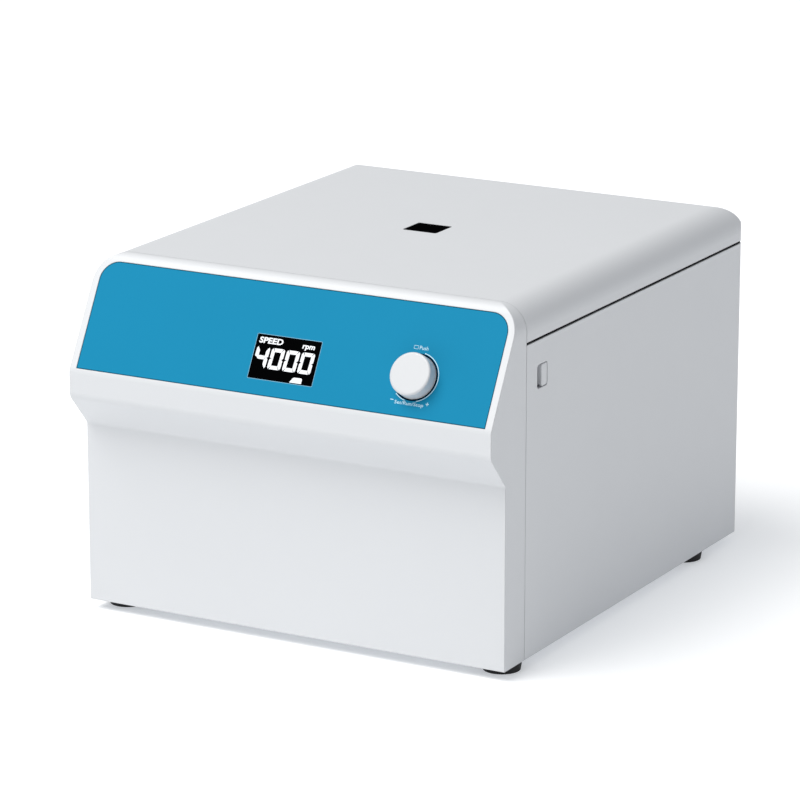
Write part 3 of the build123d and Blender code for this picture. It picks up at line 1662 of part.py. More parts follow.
bezel_width = 15.0
bezel_height = 21.0
bezel = 2.0
switch_body = 16.0
well_width = 10.4
well_height = 16.4
well_depth = 7.0
rocker_width = 10.0
rocker_half = 7.2
rocker_tilt = 8.0
stub_radius = 1.2
stub_reach = 5.9
stub_gap = 0.2
pivot_out = 0.5
rocker_back = 2.2
rocker_face = 3.6
rocker_dip = 2.6
rocker_taper = 1.5
bezel_corner = 1.0
pivot_y = rear_y + pivot_out

with BuildPart() as switch_frame:
    with BuildSketch(back_plane):
        with Locations((switch_x, switch_z)):
            RectangleRounded(bezel_width, bezel_height, bezel_corner)
    extrude(amount=-bezel)
    with BuildSketch(back_plane):
        with Locations((switch_x, switch_z)):
            Rectangle(switch_width, switch_height)
    extrude(amount=switch_body)
    with BuildSketch(back_plane.offset(-bezel)):
        with Locations((switch_x, switch_z)):
            Rectangle(well_width, well_height)
    extrude(amount=well_depth, mode=Mode.SUBTRACT)
    with BuildSketch(Plane.YZ.offset(switch_x)):
        with Locations((pivot_y, switch_z)):
            Circle(stub_radius + running_gap)
    extrude(amount=stub_reach + stub_gap, both=True, mode=Mode.SUBTRACT)
switch_frame.part.label = "switch_frame"
export_step(switch_frame.part, "parts/switch_frame.step")

tilt_sin = sin(radians(rocker_tilt))
tilt_cos = cos(radians(rocker_tilt))


def rocker_point(out, up):
    """Point of the rocker's side view, tilted about its pivot to the off position."""
    return (
        pivot_y + out * tilt_cos - up * tilt_sin,
        switch_z + out * tilt_sin + up * tilt_cos,
    )


with BuildPart() as switch_rocker:
    with BuildSketch(Plane.YZ.offset(switch_x)):
        with BuildLine():
            Polyline(
                rocker_point(-rocker_back, -rocker_half + rocker_taper),
                rocker_point(rocker_face, -rocker_half),
                rocker_point(rocker_dip, 0),
                rocker_point(rocker_face, rocker_half),
                rocker_point(-rocker_back, rocker_half - rocker_taper),
                close=True,
            )
        make_face()
    extrude(amount=rocker_width / 2, both=True)
    with BuildSketch(Plane.YZ.offset(switch_x)):
        with Locations((pivot_y, switch_z)):
            Circle(stub_radius)
    extrude(amount=stub_reach, both=True)
switch_rocker.part.label = "switch_rocker"
export_step(switch_rocker.part, "parts/switch_rocker.step")

# Power board on the tray's posts, with its transformer and capacitors
board_corner = 2.0
transformer_size = (36.0, 42.0, 30.0)
transformer_shift = 18.0
transformer_round = 2.0
capacitor_radius = 9.0
capacitor_height = 26.0
capacitor_pitch = 24.0
capacitor_shift = 28.0
capacitor_round = 1.0
with BuildPart() as power_board:
    with BuildSketch(Plane.XY.offset(power_board_z)):
        with Locations((power_board_x, power_board_y)):
            RectangleRounded(power_board_width, power_board_length, board_corner)
    extrude(amount=board_thickness)
power_board.part.label = "power_board"
export_step(power_board.part, "parts/power_board.step")

component_z = power_board_z + board_thickness
with BuildPart() as transformer:
    with BuildSketch(Plane.XY.offset(component_z)):
        with Locations((power_board_x, power_board_y + transformer_shift)):
            Rectangle(transformer_size[0], transformer_size[1])
    extrude(amount=transformer_size[2])
    fillet(transformer.edges().filter_by(Axis.Z), transformer_round)
transformer.part.label = "transformer"
export_step(transformer.part, "parts/transformer.step")

with BuildPart() as capacitors:
    with BuildSketch(Plane.XY.offset(component_z)):
        with Locations((power_board_x, power_board_y - capacitor_shift)):
            with GridLocations(capacitor_pitch, 0, 2, 1):
                Circle(capacitor_radius)
    extrude(amount=capacitor_height)
    fillet(capacitors.faces().group_by(Axis.Z)[-1].edges(), capacitor_round)
capacitors.part.label = "capacitors"
export_step(capacitors.part, "parts/capacitors.step")
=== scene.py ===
"""Looks of the bench mini centrifuge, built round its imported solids."""

import json
import logging
from dataclasses import dataclass, field
from enum import Enum
from math import cos, pi, radians, sin, tau
from typing import ClassVar, Iterable, Optional, Sequence

import bmesh
import bpy
from mathutils import Matrix, Vector


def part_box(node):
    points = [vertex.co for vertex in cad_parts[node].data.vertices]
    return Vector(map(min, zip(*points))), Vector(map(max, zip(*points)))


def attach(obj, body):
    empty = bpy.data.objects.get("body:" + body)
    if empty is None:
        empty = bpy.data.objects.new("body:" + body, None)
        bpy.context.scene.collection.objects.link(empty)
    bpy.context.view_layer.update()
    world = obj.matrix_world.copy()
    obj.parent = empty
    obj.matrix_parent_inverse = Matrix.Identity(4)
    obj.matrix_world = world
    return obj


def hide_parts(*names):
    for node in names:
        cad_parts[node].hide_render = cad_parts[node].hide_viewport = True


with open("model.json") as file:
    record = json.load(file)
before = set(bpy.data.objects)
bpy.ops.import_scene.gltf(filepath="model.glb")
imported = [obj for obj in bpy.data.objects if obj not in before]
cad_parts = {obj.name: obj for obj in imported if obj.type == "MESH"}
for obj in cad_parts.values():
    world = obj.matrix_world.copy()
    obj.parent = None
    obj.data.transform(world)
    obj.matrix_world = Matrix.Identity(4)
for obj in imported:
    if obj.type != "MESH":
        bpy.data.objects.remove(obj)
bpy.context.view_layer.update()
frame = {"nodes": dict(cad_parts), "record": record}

logging.basicConfig(level=logging.INFO, format="%(message)s")
log = logging.getLogger("centrifuge")

Node = bpy.types.Node
Socket = bpy.types.NodeSocket
NodeTree = bpy.types.NodeTree
Material = bpy.types.Material
Piece = bpy.types.Object
Shape = bmesh.types.BMesh
Corner = bmesh.types.BMVert
Colour = tuple[float, float, float]
Triple = tuple[float, float, float]
Point2 = tuple[float, float]
Span = tuple[float, float]

MM = 0.001
RIGHT, BACK, UP = Vector((1, 0, 0)), Vector((0, 1, 0)), Vector((0, 0, 1))
SQUARE = ((-1, -1), (1, -1), (1, 1), (-1, 1))

# The sloped panel: its lean from upright in degrees, and its film's thickness in millimetres
SLOPE = 28.8
FILM = 0.6


def srgb(red: int, green: int, blue: int) -> Colour:
    """Linear colour of a display colour.

    Args:
        red: red in steps of 0 to 255.
        green: green in the same steps.
        blue: blue in the same steps.

    Returns:
        The three linear values.
    """
    shares = (step / 255 for step in (red, green, blue))
    return tuple(share / 12.92 if share <= 0.04045 else ((share + 0.055) / 1.055) ** 2.4 for share in shares)


# Node trees

class Tree:
    """A node tree being wired, of a material or of a node group."""

    def __init__(self, tree: NodeTree) -> None:
        """Keeps the tree that nodes are added to."""
        self.tree = tree

    def add(self, kind: str, **values: object) -> Node:
        """Adds a node.

        Args:
            kind: the node's type name after ShaderNode.
            **values: attributes of the node, set by name.

        Returns:
            The new node.
        """
        node = self.tree.nodes.new("ShaderNode" + kind)
        for name, value in values.items():
            setattr(node, name, value)
        return node

    def feed(self, socket: Socket, value: object) -> None:
        """Links a socket to another one, or sets its value.

        Args:
            socket: the socket that is fed.
            value: another socket, a number or a colour.
        """
        if isinstance(value, Socket):
            self.tree.links.new(value, socket)
        elif isinstance(value, tuple) and len(value) == 3 and len(socket.default_value) == 4:
            socket.default_value = (*value, 1.0)
        else:
            socket.default_value = value

    def math(self, operation: str, first: object, second: object = None, third: object = None,
             clamp: bool = False) -> Socket:
        """Adds a Math node.

        Args:
            operation: its operation, such as MULTIPLY.
            first: first value or socket.
            second: second value or socket.
            third: third value or socket.
            clamp: keeps the result between 0 and 1.

        Returns:
            The result's socket.
        """
        node = self.add("Math", operation=operation, use_clamp=clamp)
        for socket, value in zip(node.inputs, (first, second, third)):
            if value is not None:
                self.feed(socket, value)
        return node.outputs[0]

    def vector(self, operation: str, first: Socket, second: Socket) -> Node:
        """Adds a Vector Math node.

        Args:
            operation: its operation, such as SUBTRACT.
            first: first vector's socket.
            second: second vector's socket.

        Returns:
            The node.
        """
        node = self.add("VectorMath", operation=operation)
        self.feed(node.inputs[0], first)
        self.feed(node.inputs[1], second)
        return node

    def split(self, vector: Socket) -> Node:
        """Adds a node that gives a vector's X, Y and Z.

        Args:
            vector: the vector's socket.

        Returns:
            The node.
        """
        node = self.add("SeparateXYZ")
        self.feed(node.inputs[0], vector)
        return node

    def mix(self, share: object, first: object, second: object) -> Socket:
        """Mixes two colours.

        Args:
            share: how much of the second colour shows.
            first: first colour or socket.
            second: second colour or socket.

        Returns:
            The result's socket.
        """
        node = self.add("Mix", data_type="RGBA")
        for index, value in ((0, share), (6, first), (7, second)):
            self.feed(node.inputs[index], value)
        return node.outputs[2]

    def spread(self, value: Socket, low: float, high: float) -> Socket:
        """Maps a value from the range 0 to 1 to another range.

        Args:
            value: the value's socket.
            low: what 0 becomes.
            high: what 1 becomes.

        Returns:
            The result's socket.
        """
        node = self.add("MapRange")
        for name, part in (("Value", value), ("To Min", low), ("To Max", high)):
            self.feed(node.inputs[name], part)
        return node.outputs[0]

    def steepen(self, value: Socket, low: float, high: float) -> Socket:
        """Maps part of a value's range to 0 to 1, and cuts off the rest.

        Args:
            value: the value's socket.
            low: what becomes 0.
            high: what becomes 1.

        Returns:
            The result's socket.
        """
        node = self.add("MapRange", clamp=True)
        for name, part in (("Value", value), ("From Min", low), ("From Max", high)):
            self.feed(node.inputs[name], part)
        return node.outputs[0]

    def noise(self, vector: Socket, scale: object, detail: float = 2.0, rough: float = 0.5) -> Socket:
        """Adds a noise texture.

        Args:
            vector: the place it is read at.
            scale: its scale, or a socket for it.
            detail: its number of finer layers.
            rough: how much the finer layers count.

        Returns:
            The socket of its value.
        """
        node = self.add("TexNoise")
        for name, value in (("Vector", vector), ("Scale", scale), ("Detail", detail), ("Roughness", rough)):
            self.feed(node.inputs[name], value)
        return node.outputs[0]

    def place(self) -> Socket:
        """Socket of the point's place in the part's own frame."""
        return self.add("TexCoord").outputs["Object"]

    def group(self, tree: NodeTree, **values: object) -> Node:
        """Places a node group.

        Args:
            tree: the group.
            **values: its inputs by name.

        Returns:
            The group's node.
        """
        node = self.add("Group")
        node.node_tree = tree
        for name, value in values.items():
            self.feed(node.inputs[name], value)
        return node


class SocketKind(Enum):
    """Kinds of socket on a node group."""

    VALUE = "NodeSocketFloat"
    COLOUR = "NodeSocketColor"
    VECTOR = "NodeSocketVector"


class EffectTree(Tree):
    """A node group being wired between its named inputs and outputs."""

    def __init__(self, name: str, inputs: dict[str, tuple[SocketKind, object]],
                 outputs: dict[str, SocketKind]) -> None:
        """Makes an empty group.

        Args:
            name: the group's name.
            inputs: kind and default of each input.
            outputs: kind of each output.
        """
        super().__init__(bpy.data.node_groups.new(name, "ShaderNodeTree"))
        face = self.tree.interface
        for label, (kind, default) in inputs.items():
            face.new_socket(label, in_out="INPUT", socket_type=kind.value).default_value = default
        for label, kind in outputs.items():
            face.new_socket(label, in_out="OUTPUT", socket_type=kind.value)
        self.source = self.tree.nodes.new("NodeGroupInput")
        self.target = self.tree.nodes.new("NodeGroupOutput")

    def given(self, label: str) -> Socket:
        """Socket of one of the group's inputs."""
        return self.source.outputs[label]

    def give(self, label: str, value: Socket) -> None:
        """Feeds one of the group's outputs."""
        self.feed(self.target.inputs[label], value)


@dataclass
class Effects:
    """The shader node groups that several finishes share, each built once.

    Each pair is the part of a noise's range that a mask steepens.
    """

    coarse_share: float = 0.31
    coarse_height: float = 0.4
    handling_scale: float = 55.0
    edge_gain: float = 9.0
    patch_scale: float = 160.0
    patches: Span = (0.35, 0.65)
    upward: Span = (0.35, 1.0)
    clouds: Span = (0.4, 0.75)
    cloud_share: float = 0.5
    speck_scale: float = 1400.0
    specks: Span = (0.68, 0.78)
    speck_share: float = 0.6
    sheet_scale: float = 30.0
    turning_scale: float = 90.0

    def __post_init__(self) -> None:
        """Builds every group."""
        self.tone = self._tone_drift()
        self.grain = self._moulded_grain()
        self.wear = self._edge_wear()
        self.dust = self._settled_dust()
        self.brushed = self._brushed_lines()
        self.turned = self._turned_rings()

    def _tone_drift(self) -> NodeTree:
        """Slow change of a colour over a surface.

        Returns:
            The group, with Colour and Shade outputs.
        """
        effect = EffectTree("tone_drift", {
            "Colour": (SocketKind.COLOUR, (0.8, 0.8, 0.8, 1)),
            "Amount": (SocketKind.VALUE, 0.05),
            "Scale": (SocketKind.VALUE, 12.0),
        }, {"Colour": SocketKind.COLOUR, "Shade": SocketKind.VALUE})
        shade = effect.noise(effect.place(), effect.given("Scale"), detail=3.0)
        swing = effect.math("MULTIPLY_ADD", effect.math("SUBTRACT", shade, 0.5), effect.given("Amount"), 1.0)
        tint = effect.add("HueSaturation")
        effect.feed(tint.inputs["Value"], swing)
        effect.feed(tint.inputs["Color"], effect.given("Colour"))
        effect.give("Colour", tint.outputs[0])
        effect.give("Shade", shade)
        return effect.tree

    def _moulded_grain(self) -> NodeTree:
        """Fine sparked texture of a moulding.

        Returns:
            The group, with Height and Gloss outputs.
        """
        effect = EffectTree("moulded_grain", {
            "Scale": (SocketKind.VALUE, 2500.0),
            "Depth": (SocketKind.VALUE, 1.0),
        }, {"Height": SocketKind.VALUE, "Gloss": SocketKind.VALUE})
        place = effect.place()
        fine = effect.noise(place, effect.given("Scale"), detail=2.0, rough=0.6)
        wider = effect.math("MULTIPLY", effect.given("Scale"), self.coarse_share)
        coarse = effect.noise(place, wider, detail=1.0)
        height = effect.math("MULTIPLY_ADD", coarse, self.coarse_height, fine)
        effect.give("Height", effect.math("MULTIPLY", height, effect.given("Depth")))
        effect.give("Gloss", effect.noise(place, self.handling_scale, detail=4.0, rough=0.6))
        return effect.tree

    def _edge_wear(self) -> NodeTree:
        """Mask of the edges where handling polishes or bares a surface, and their soft normal.

        Returns:
            The group, with Mask and Normal outputs.
        """
        effect = EffectTree("edge_wear", {
            "Width": (SocketKind.VALUE, 0.0008),
            "Amount": (SocketKind.VALUE, 1.0),
        }, {"Mask": SocketKind.VALUE, "Normal": SocketKind.VECTOR})
        rounded = effect.add("Bevel", samples=4)
        effect.feed(rounded.inputs["Radius"], effect.given("Width"))
        flat = effect.add("NewGeometry").outputs["Normal"]
        meet = effect.vector("DOT_PRODUCT", rounded.outputs[0], flat)
        bend = effect.math("SUBTRACT", 1.0, meet.outputs["Value"])
        patchy = effect.steepen(effect.noise(effect.place(), self.patch_scale, detail=3.0), *self.patches)
        worn = effect.math("MULTIPLY", effect.math("MULTIPLY", bend, self.edge_gain), patchy, clamp=True)
        effect.give("Mask", effect.math("MULTIPLY", worn, effect.given("Amount"), clamp=True))
        effect.give("Normal", rounded.outputs[0])
        return effect.tree

    def _settled_dust(self) -> NodeTree:
        """Mask of the dust that lies on upward faces.

        Returns:
            The group, with a Mask output.
        """
        effect = EffectTree("settled_dust", {
            "Amount": (SocketKind.VALUE, 0.2),
            "Scale": (SocketKind.VALUE, 40.0),
        }, {"Mask": SocketKind.VALUE})
        facing = effect.split(effect.add("TexCoord").outputs["Normal"])
        upward = effect.steepen(facing.outputs["Z"], *self.upward)
        place = effect.place()
        cloud = effect.steepen(effect.noise(place, effect.given("Scale"), detail=4.0, rough=0.65), *self.clouds)
        specks = effect.steepen(effect.noise(place, self.speck_scale, detail=1.0), *self.specks)
        lying = effect.math("MULTIPLY_ADD", specks, self.speck_share,
                            effect.math("MULTIPLY", cloud, self.cloud_share), clamp=True)
        shown = effect.math("MULTIPLY", lying, upward)
        effect.give("Mask", effect.math("MULTIPLY", shown, effect.given("Amount"), clamp=True))
        return effect.tree

    def _brushed_lines(self) -> NodeTree:
        """Long fine lines of a rolled or brushed sheet.

        Returns:
            The group, with Height and Gloss outputs.
        """
        effect = EffectTree("brushed_lines", {
            "Stretch": (SocketKind.VECTOR, (20.0, 2500.0, 2500.0)),
        }, {"Height": SocketKind.VALUE, "Gloss": SocketKind.VALUE})
        stretched = effect.vector("MULTIPLY", effect.place(), effect.given("Stretch"))
        effect.give("Height", effect.noise(stretched.outputs[0], 1.0, detail=2.0))
        effect.give("Gloss", effect.noise(effect.place(), self.sheet_scale, detail=4.0, rough=0.6))
        return effect.tree

    def _turned_rings(self) -> NodeTree:
        """Rings that a lathe or a spinning tool leaves round an upright axis.

        Returns:
            The group, with Height and Gloss outputs.
        """
        effect = EffectTree("turned_rings", {
            "Centre": (SocketKind.VECTOR, (0.0, 0.0, 0.0)),
            "Scale": (SocketKind.VALUE, 1500.0),
        }, {"Height": SocketKind.VALUE, "Gloss": SocketKind.VALUE})
        offset = effect.split(effect.vector("SUBTRACT", effect.place(), effect.given("Centre")).outputs[0])
        across, along, rise = (offset.outputs[axis] for axis in "XYZ")
        square = effect.math("MULTIPLY_ADD", across, across, effect.math("MULTIPLY", along, along))
        joined = effect.add("CombineXYZ")
        effect.feed(joined.inputs["X"], effect.math("SQRT", square))
        effect.feed(joined.inputs["Z"], rise)
        effect.give("Height", effect.noise(joined.outputs[0], effect.given("Scale"), detail=2.0))
        effect.give("Gloss", effect.noise(joined.outputs[0], self.turning_scale, detail=3.0))
        return effect.tree


# Finishes

class Coat(Tree):
    """A material being wired: its tree, its own shader and the shared effects."""

    def __init__(self, name: str, effects: Effects) -> None:
        """Makes an empty material with one shader.

        Args:
            name: the material's name.
            effects: the shared node groups.
        """
        self.made = bpy.data.materials.new(name)
        self.made.use_nodes = True
        super().__init__(self.made.node_tree)
        self.tree.nodes.clear()
        self.effects = effects
        self.shader = self.add("BsdfPrincipled")
        self.feed(self.add("OutputMaterial").inputs["Surface"], self.shader.outputs[0])

    def give(self, label: str, value: object) -> None:
        """Links or sets one of the shader's own sockets."""
        self.feed(self.shader.inputs[label], value)

    def tone(self, colour: Colour, amount: float, scale: float = 12.0) -> Node:
        """Node of a colour that drifts by an amount, at a scale."""
        return self.group(self.effects.tone, Colour=colour, Amount=amount, Scale=scale)

    def dust(self, amount: float) -> Socket:
        """Mask of an amount of settled dust."""
        return self.group(self.effects.dust, Amount=amount).outputs["Mask"]

    def roughen(self, map_node: Node, low: float, high: float) -> Socket:
        """Roughness that runs between two values with the node's Gloss."""
        return self.spread(map_node.outputs["Gloss"], low, high)

    def bump(self, height: Socket, share: float, depth: float, base: Optional[Socket] = None) -> None:
        """Raises the surface by a height map.

        Args:
            height: the height's socket.
            share: share of the full effect.
            depth: height in metres of the map's full swing.
            base: normal that the map is added to, or None for the surface's own.
        """
        node = self.add("Bump")
        if base is not None:
            self.feed(node.inputs["Normal"], base)
        for name, value in (("Strength", share), ("Distance", depth), ("Height", height)):
            self.feed(node.inputs[name], value)
        self.give("Normal", node.outputs[0])


class Finish:
    """A finish that makes one material and gives it out again."""

    name: str
    _made: ClassVar[dict[str, Material]] = {}

    def material(self, effects: Effects) -> Material:
        """The finish's material, built at its first use.

        Args:
            effects: the shared node groups.

        Returns:
            The material.
        """
        if self.name not in Finish._made:
            coat = Coat(self.name, effects)
            self.wire(coat)
            Finish._made[self.name] = coat.made
        return Finish._made[self.name]

    def wire(self, coat: Coat) -> None:
        """Wires the coat's shader."""
        raise NotImplementedError


@dataclass(frozen=True)
class MouldedPlastic(Finish):
    """Moulded plastic with a sparked grain, slow colour drift, dust and polished edges."""

    name: str
    colour: Colour
    rough: float = 0.42
    rough_swing: float = 0.06
    grain_scale: float = 2500.0
    grain_depth: float = 0.00002
    grain_share: float = 0.5
    drift: float = 0.03
    dust: float = 0.06
    dust_rough: float = 0.4
    dust_colour: Colour = (0.55, 0.53, 0.5)
    wear: float = 0.35
    polish: float = 0.15
    index: float = 1.5

    def wire(self, coat: Coat) -> None:
        """Wires colour drift, dust, worn edges and grain.

        Args:
            coat: the material.
        """
        tone = coat.tone(self.colour, self.drift)
        dust = coat.dust(self.dust)
        coat.give("Base Color", coat.mix(dust, tone.outputs["Colour"], self.dust_colour))
        grain = coat.group(coat.effects.grain, Scale=self.grain_scale)
        worn = coat.group(coat.effects.wear, Amount=self.wear)
        rough = coat.roughen(grain, self.rough - self.rough_swing, self.rough + self.rough_swing)
        rough = coat.math("MULTIPLY_ADD", worn.outputs["Mask"], -self.polish, rough)
        coat.give("Roughness", coat.math("MULTIPLY_ADD", dust, self.dust_rough, rough, clamp=True))
        coat.give("IOR", self.index)
        coat.bump(grain.outputs["Height"], self.grain_share, self.grain_depth, worn.outputs["Normal"])


@dataclass(frozen=True)
class PrintedFilm(Finish):
    """Printed polyester film: even ink under a fine velvet texture."""

    name: str
    colour: Colour
    rough: float = 0.36
    rough_swing: float = 0.05
    gloss: float = 0.5
    ink_drift: float = 0.04
    ink_scale: float = 30.0
    dust: float = 0.02
    dust_colour: Colour = (0.6, 0.6, 0.6)
    texture_scale: float = 4200.0
    texture_depth: float = 0.00001
    texture_share: float = 0.4

    def wire(self, coat: Coat) -> None:
        """Wires ink, dust and the film's texture.

        Args:
            coat: the material.
        """
        tone = coat.tone(self.colour, self.ink_drift, self.ink_scale)
        coat.give("Base Color", coat.mix(coat.dust(self.dust), tone.outputs["Colour"], self.dust_colour))
        coat.give("Specular IOR Level", self.gloss)
        grain = coat.group(coat.effects.grain, Scale=self.texture_scale)
        rough = coat.roughen(grain, self.rough - self.rough_swing, self.rough + self.rough_swing)
        coat.give("Roughness", rough)
        coat.bump(grain.outputs["Height"], self.texture_share, self.texture_depth)


@dataclass(frozen=True)
class Metal(Finish):
    """Metal sheet, bar or turning, with the lines its tool left, worn edges and dull patches."""

    name: str
    colour: Colour
    rough: float = 0.3
    lines: Triple = (20.0, 2500.0, 2500.0)
    centre: Optional[Triple] = None
    ring_scale: float = 1500.0
    depth: float = 0.00003
    depth_share: float = 0.5
    drift: float = 0.08
    drift_scale: float = 25.0
    tarnish: float = 0.15
    edge_width: float = 0.0005
    edge_wear: float = 0.6
    edge_gain: float = 1.25
    edge_lift: float = 0.05

    def wire(self, coat: Coat) -> None:
        """Wires tool marks, dull patches and bright edges.

        Args:
            coat: the material.
        """
        if self.centre is None:
            marks = coat.group(coat.effects.brushed, Stretch=self.lines)
        else:
            marks = coat.group(coat.effects.turned, Centre=self.centre, Scale=self.ring_scale)
        tone = coat.tone(self.colour, self.drift, self.drift_scale)
        worn = coat.group(coat.effects.wear, Width=self.edge_width, Amount=self.edge_wear)
        bright = tuple(min(1.0, channel * self.edge_gain + self.edge_lift) for channel in self.colour)
        coat.give("Base Color", coat.mix(worn.outputs["Mask"], tone.outputs["Colour"], bright))
        coat.give("Metallic", 1.0)
        coat.give("Roughness", coat.roughen(marks, self.rough, self.rough + self.tarnish))
        coat.bump(marks.outputs["Height"], self.depth_share, self.depth)


@dataclass(frozen=True)
class PaintedMetal(Finish):
    """Sprayed paint or a lacquered sleeve, with faint orange peel and chipped edges."""

    name: str
    colour: Colour
    rough: float = 0.4
    rough_low: float = 0.05
    rough_high: float = 0.1
    peel_scale: float = 700.0
    peel_depth: float = 0.00004
    peel_share: float = 0.4
    drift: float = 0.08
    bare: Colour = (0.5, 0.5, 0.5)
    bare_metal: float = 0.9
    chips: float = 0.5
    chip_width: float = 0.0006
    dust: float = 0.2
    dust_colour: Colour = (0.5, 0.48, 0.45)

    def wire(self, coat: Coat) -> None:
        """Wires paint, chips, dust and peel.

        Args:
            coat: the material.
        """
        tone = coat.tone(self.colour, self.drift)
        worn = coat.group(coat.effects.wear, Width=self.chip_width, Amount=self.chips).outputs["Mask"]
        colour = coat.mix(worn, tone.outputs["Colour"], self.bare)
        coat.give("Base Color", coat.mix(coat.dust(self.dust), colour, self.dust_colour))
        coat.give("Metallic", coat.math("MULTIPLY", worn, self.bare_metal))
        grain = coat.group(coat.effects.grain, Scale=self.peel_scale)
        coat.give("Roughness", coat.roughen(grain, self.rough - self.rough_low, self.rough + self.rough_high))
        coat.bump(grain.outputs["Height"], self.peel_share, self.peel_depth)


@dataclass(frozen=True)
class Rubber(Finish):
    """Moulded rubber: dark, dull, with bloom and dust in its grain."""

    name: str
    colour: Colour = (0.012, 0.012, 0.013)
    rough: float = 0.7
    rough_low: float = 0.08
    rough_high: float = 0.12
    gloss: float = 0.35
    drift: float = 0.5
    drift_scale: float = 60.0
    bloom: float = 0.25
    bloom_colour: Colour = (0.25, 0.24, 0.23)
    grain_scale: float = 1600.0
    grain_depth: float = 0.00004
    grain_share: float = 0.6

    def wire(self, coat: Coat) -> None:
        """Wires bloom, dust and grain.

        Args:
            coat: the material.
        """
        tone = coat.tone(self.colour, self.drift, self.drift_scale)
        coat.give("Base Color", coat.mix(coat.dust(self.bloom), tone.outputs["Colour"], self.bloom_colour))
        grain = coat.group(coat.effects.grain, Scale=self.grain_scale)
        coat.give("Roughness", coat.roughen(grain, self.rough - self.rough_low, self.rough + self.rough_high))
        coat.give("Specular IOR Level", self.gloss)
        coat.bump(grain.outputs["Height"], self.grain_share, self.grain_depth)


@dataclass(frozen=True)
class ClearPlate(Finish):
    """Clear or smoked plastic plate with a polished face."""

    name: str
    colour: Colour
    clear: float = 1.0
    rough: float = 0.06
    clean_share: float = 0.5
    smeared_share: float = 1.6
    smear_scale: float = 400.0
    gloss: float = 0.5
    drift: float = 0.02
    index: float = 1.49

    def wire(self, coat: Coat) -> None:
        """Wires the tint, smears and clearness.

        Args:
            coat: the material.
        """
        coat.give("Base Color", coat.tone(self.colour, self.drift).outputs["Colour"])
        coat.give("Transmission Weight", self.clear)
        coat.give("IOR", self.index)
        coat.give("Specular IOR Level", self.gloss)
        grain = coat.group(coat.effects.grain, Scale=self.smear_scale)
        rough = coat.roughen(grain, self.rough * self.clean_share, self.rough * self.smeared_share)
        coat.give("Roughness", rough)


@dataclass(frozen=True)
class CircuitBoard(Finish):
    """Green circuit board with copper tracks under its lacquer and tinned pads."""

    name: str
    colour: Colour = (0.01, 0.11, 0.035)
    drift: float = 0.15
    track: Colour = (0.03, 0.2, 0.06)
    track_scale: float = 160.0
    track_disorder: float = 0.35
    track_width: float = 0.08
    pad: Colour = (0.55, 0.53, 0.48)
    pad_scale: float = 210.0
    pad_width: float = 0.2
    pad_metal: float = 0.9
    lacquer: Span = (0.22, 0.36)
    lacquer_scale: float = 900.0
    copper_depth: float = 0.00005
    copper_share: float = 0.4

    def wire(self, coat: Coat) -> None:
        """Wires tracks, pads and lacquer.

        Args:
            coat: the material.
        """
        place = coat.place()
        cells = coat.add("TexVoronoi", feature="DISTANCE_TO_EDGE", distance="EUCLIDEAN")
        coat.feed(cells.inputs["Vector"], place)
        coat.feed(cells.inputs["Scale"], self.track_scale)
        coat.feed(cells.inputs["Randomness"], self.track_disorder)
        tracks = coat.math("LESS_THAN", cells.outputs["Distance"], self.track_width)
        dots = coat.add("TexVoronoi", feature="F1")
        coat.feed(dots.inputs["Vector"], place)
        coat.feed(dots.inputs["Scale"], self.pad_scale)
        pads = coat.math("LESS_THAN", dots.outputs["Distance"], self.pad_width)
        colour = coat.mix(tracks, coat.tone(self.colour, self.drift).outputs["Colour"], self.track)
        coat.give("Base Color", coat.mix(pads, colour, self.pad))
        coat.give("Metallic", coat.math("MULTIPLY", pads, self.pad_metal))
        grain = coat.group(coat.effects.grain, Scale=self.lacquer_scale)
        coat.give("Roughness", coat.roughen(grain, *self.lacquer))
        coat.bump(coat.math("MAXIMUM", tracks, pads), self.copper_share, self.copper_depth)


@dataclass(frozen=True)
class Laminations(Finish):
    """Stack of thin core plates, seen as fine stripes along one axis."""

    name: str
    colour: Colour = (0.16, 0.16, 0.17)
    drift: float = 0.25
    drift_scale: float = 40.0
    gap: Colour = (0.05, 0.05, 0.06)
    gap_share: float = 0.6
    plate: float = 0.0005
    plate_depth: float = 0.00008
    plate_share: float = 0.5
    stacked: str = "Z"
    metallic: float = 0.8
    sheen: Span = (0.4, 0.6)

    def wire(self, coat: Coat) -> None:
        """Wires the stripes and a blued sheen.

        Args:
            coat: the material.
        """
        height = coat.split(coat.place()).outputs[self.stacked]
        wave = coat.math("SINE", coat.math("MULTIPLY", height, tau / self.plate))
        tone = coat.tone(self.colour, self.drift, self.drift_scale)
        stripes = coat.spread(wave, 0.0, self.gap_share)
        coat.give("Base Color", coat.mix(stripes, tone.outputs["Colour"], self.gap))
        coat.give("Metallic", self.metallic)
        coat.give("Roughness", coat.spread(tone.outputs["Shade"], *self.sheen))
        coat.bump(wave, self.plate_share, self.plate_depth)


@dataclass(frozen=True)
class Lit(Finish):
    """Lit part of a display: white light behind a thin diffuser."""

    name: str
    colour: Colour = (1.0, 1.0, 1.0)
    drift: float = 0.04
    drift_scale: float = 90.0
    strength: float = 1.0
    rough: Span = (0.45, 0.55)

    def wire(self, coat: Coat) -> None:
        """Wires an even glow with a faint drift.

        Args:
            coat: the material.
        """
        tone = coat.tone(self.colour, self.drift, self.drift_scale)
        coat.give("Base Color", tone.outputs["Colour"])
        coat.give("Emission Color", tone.outputs["Colour"])
        coat.give("Emission Strength", self.strength)
        coat.give("Roughness", coat.spread(tone.outputs["Shade"], *self.rough))


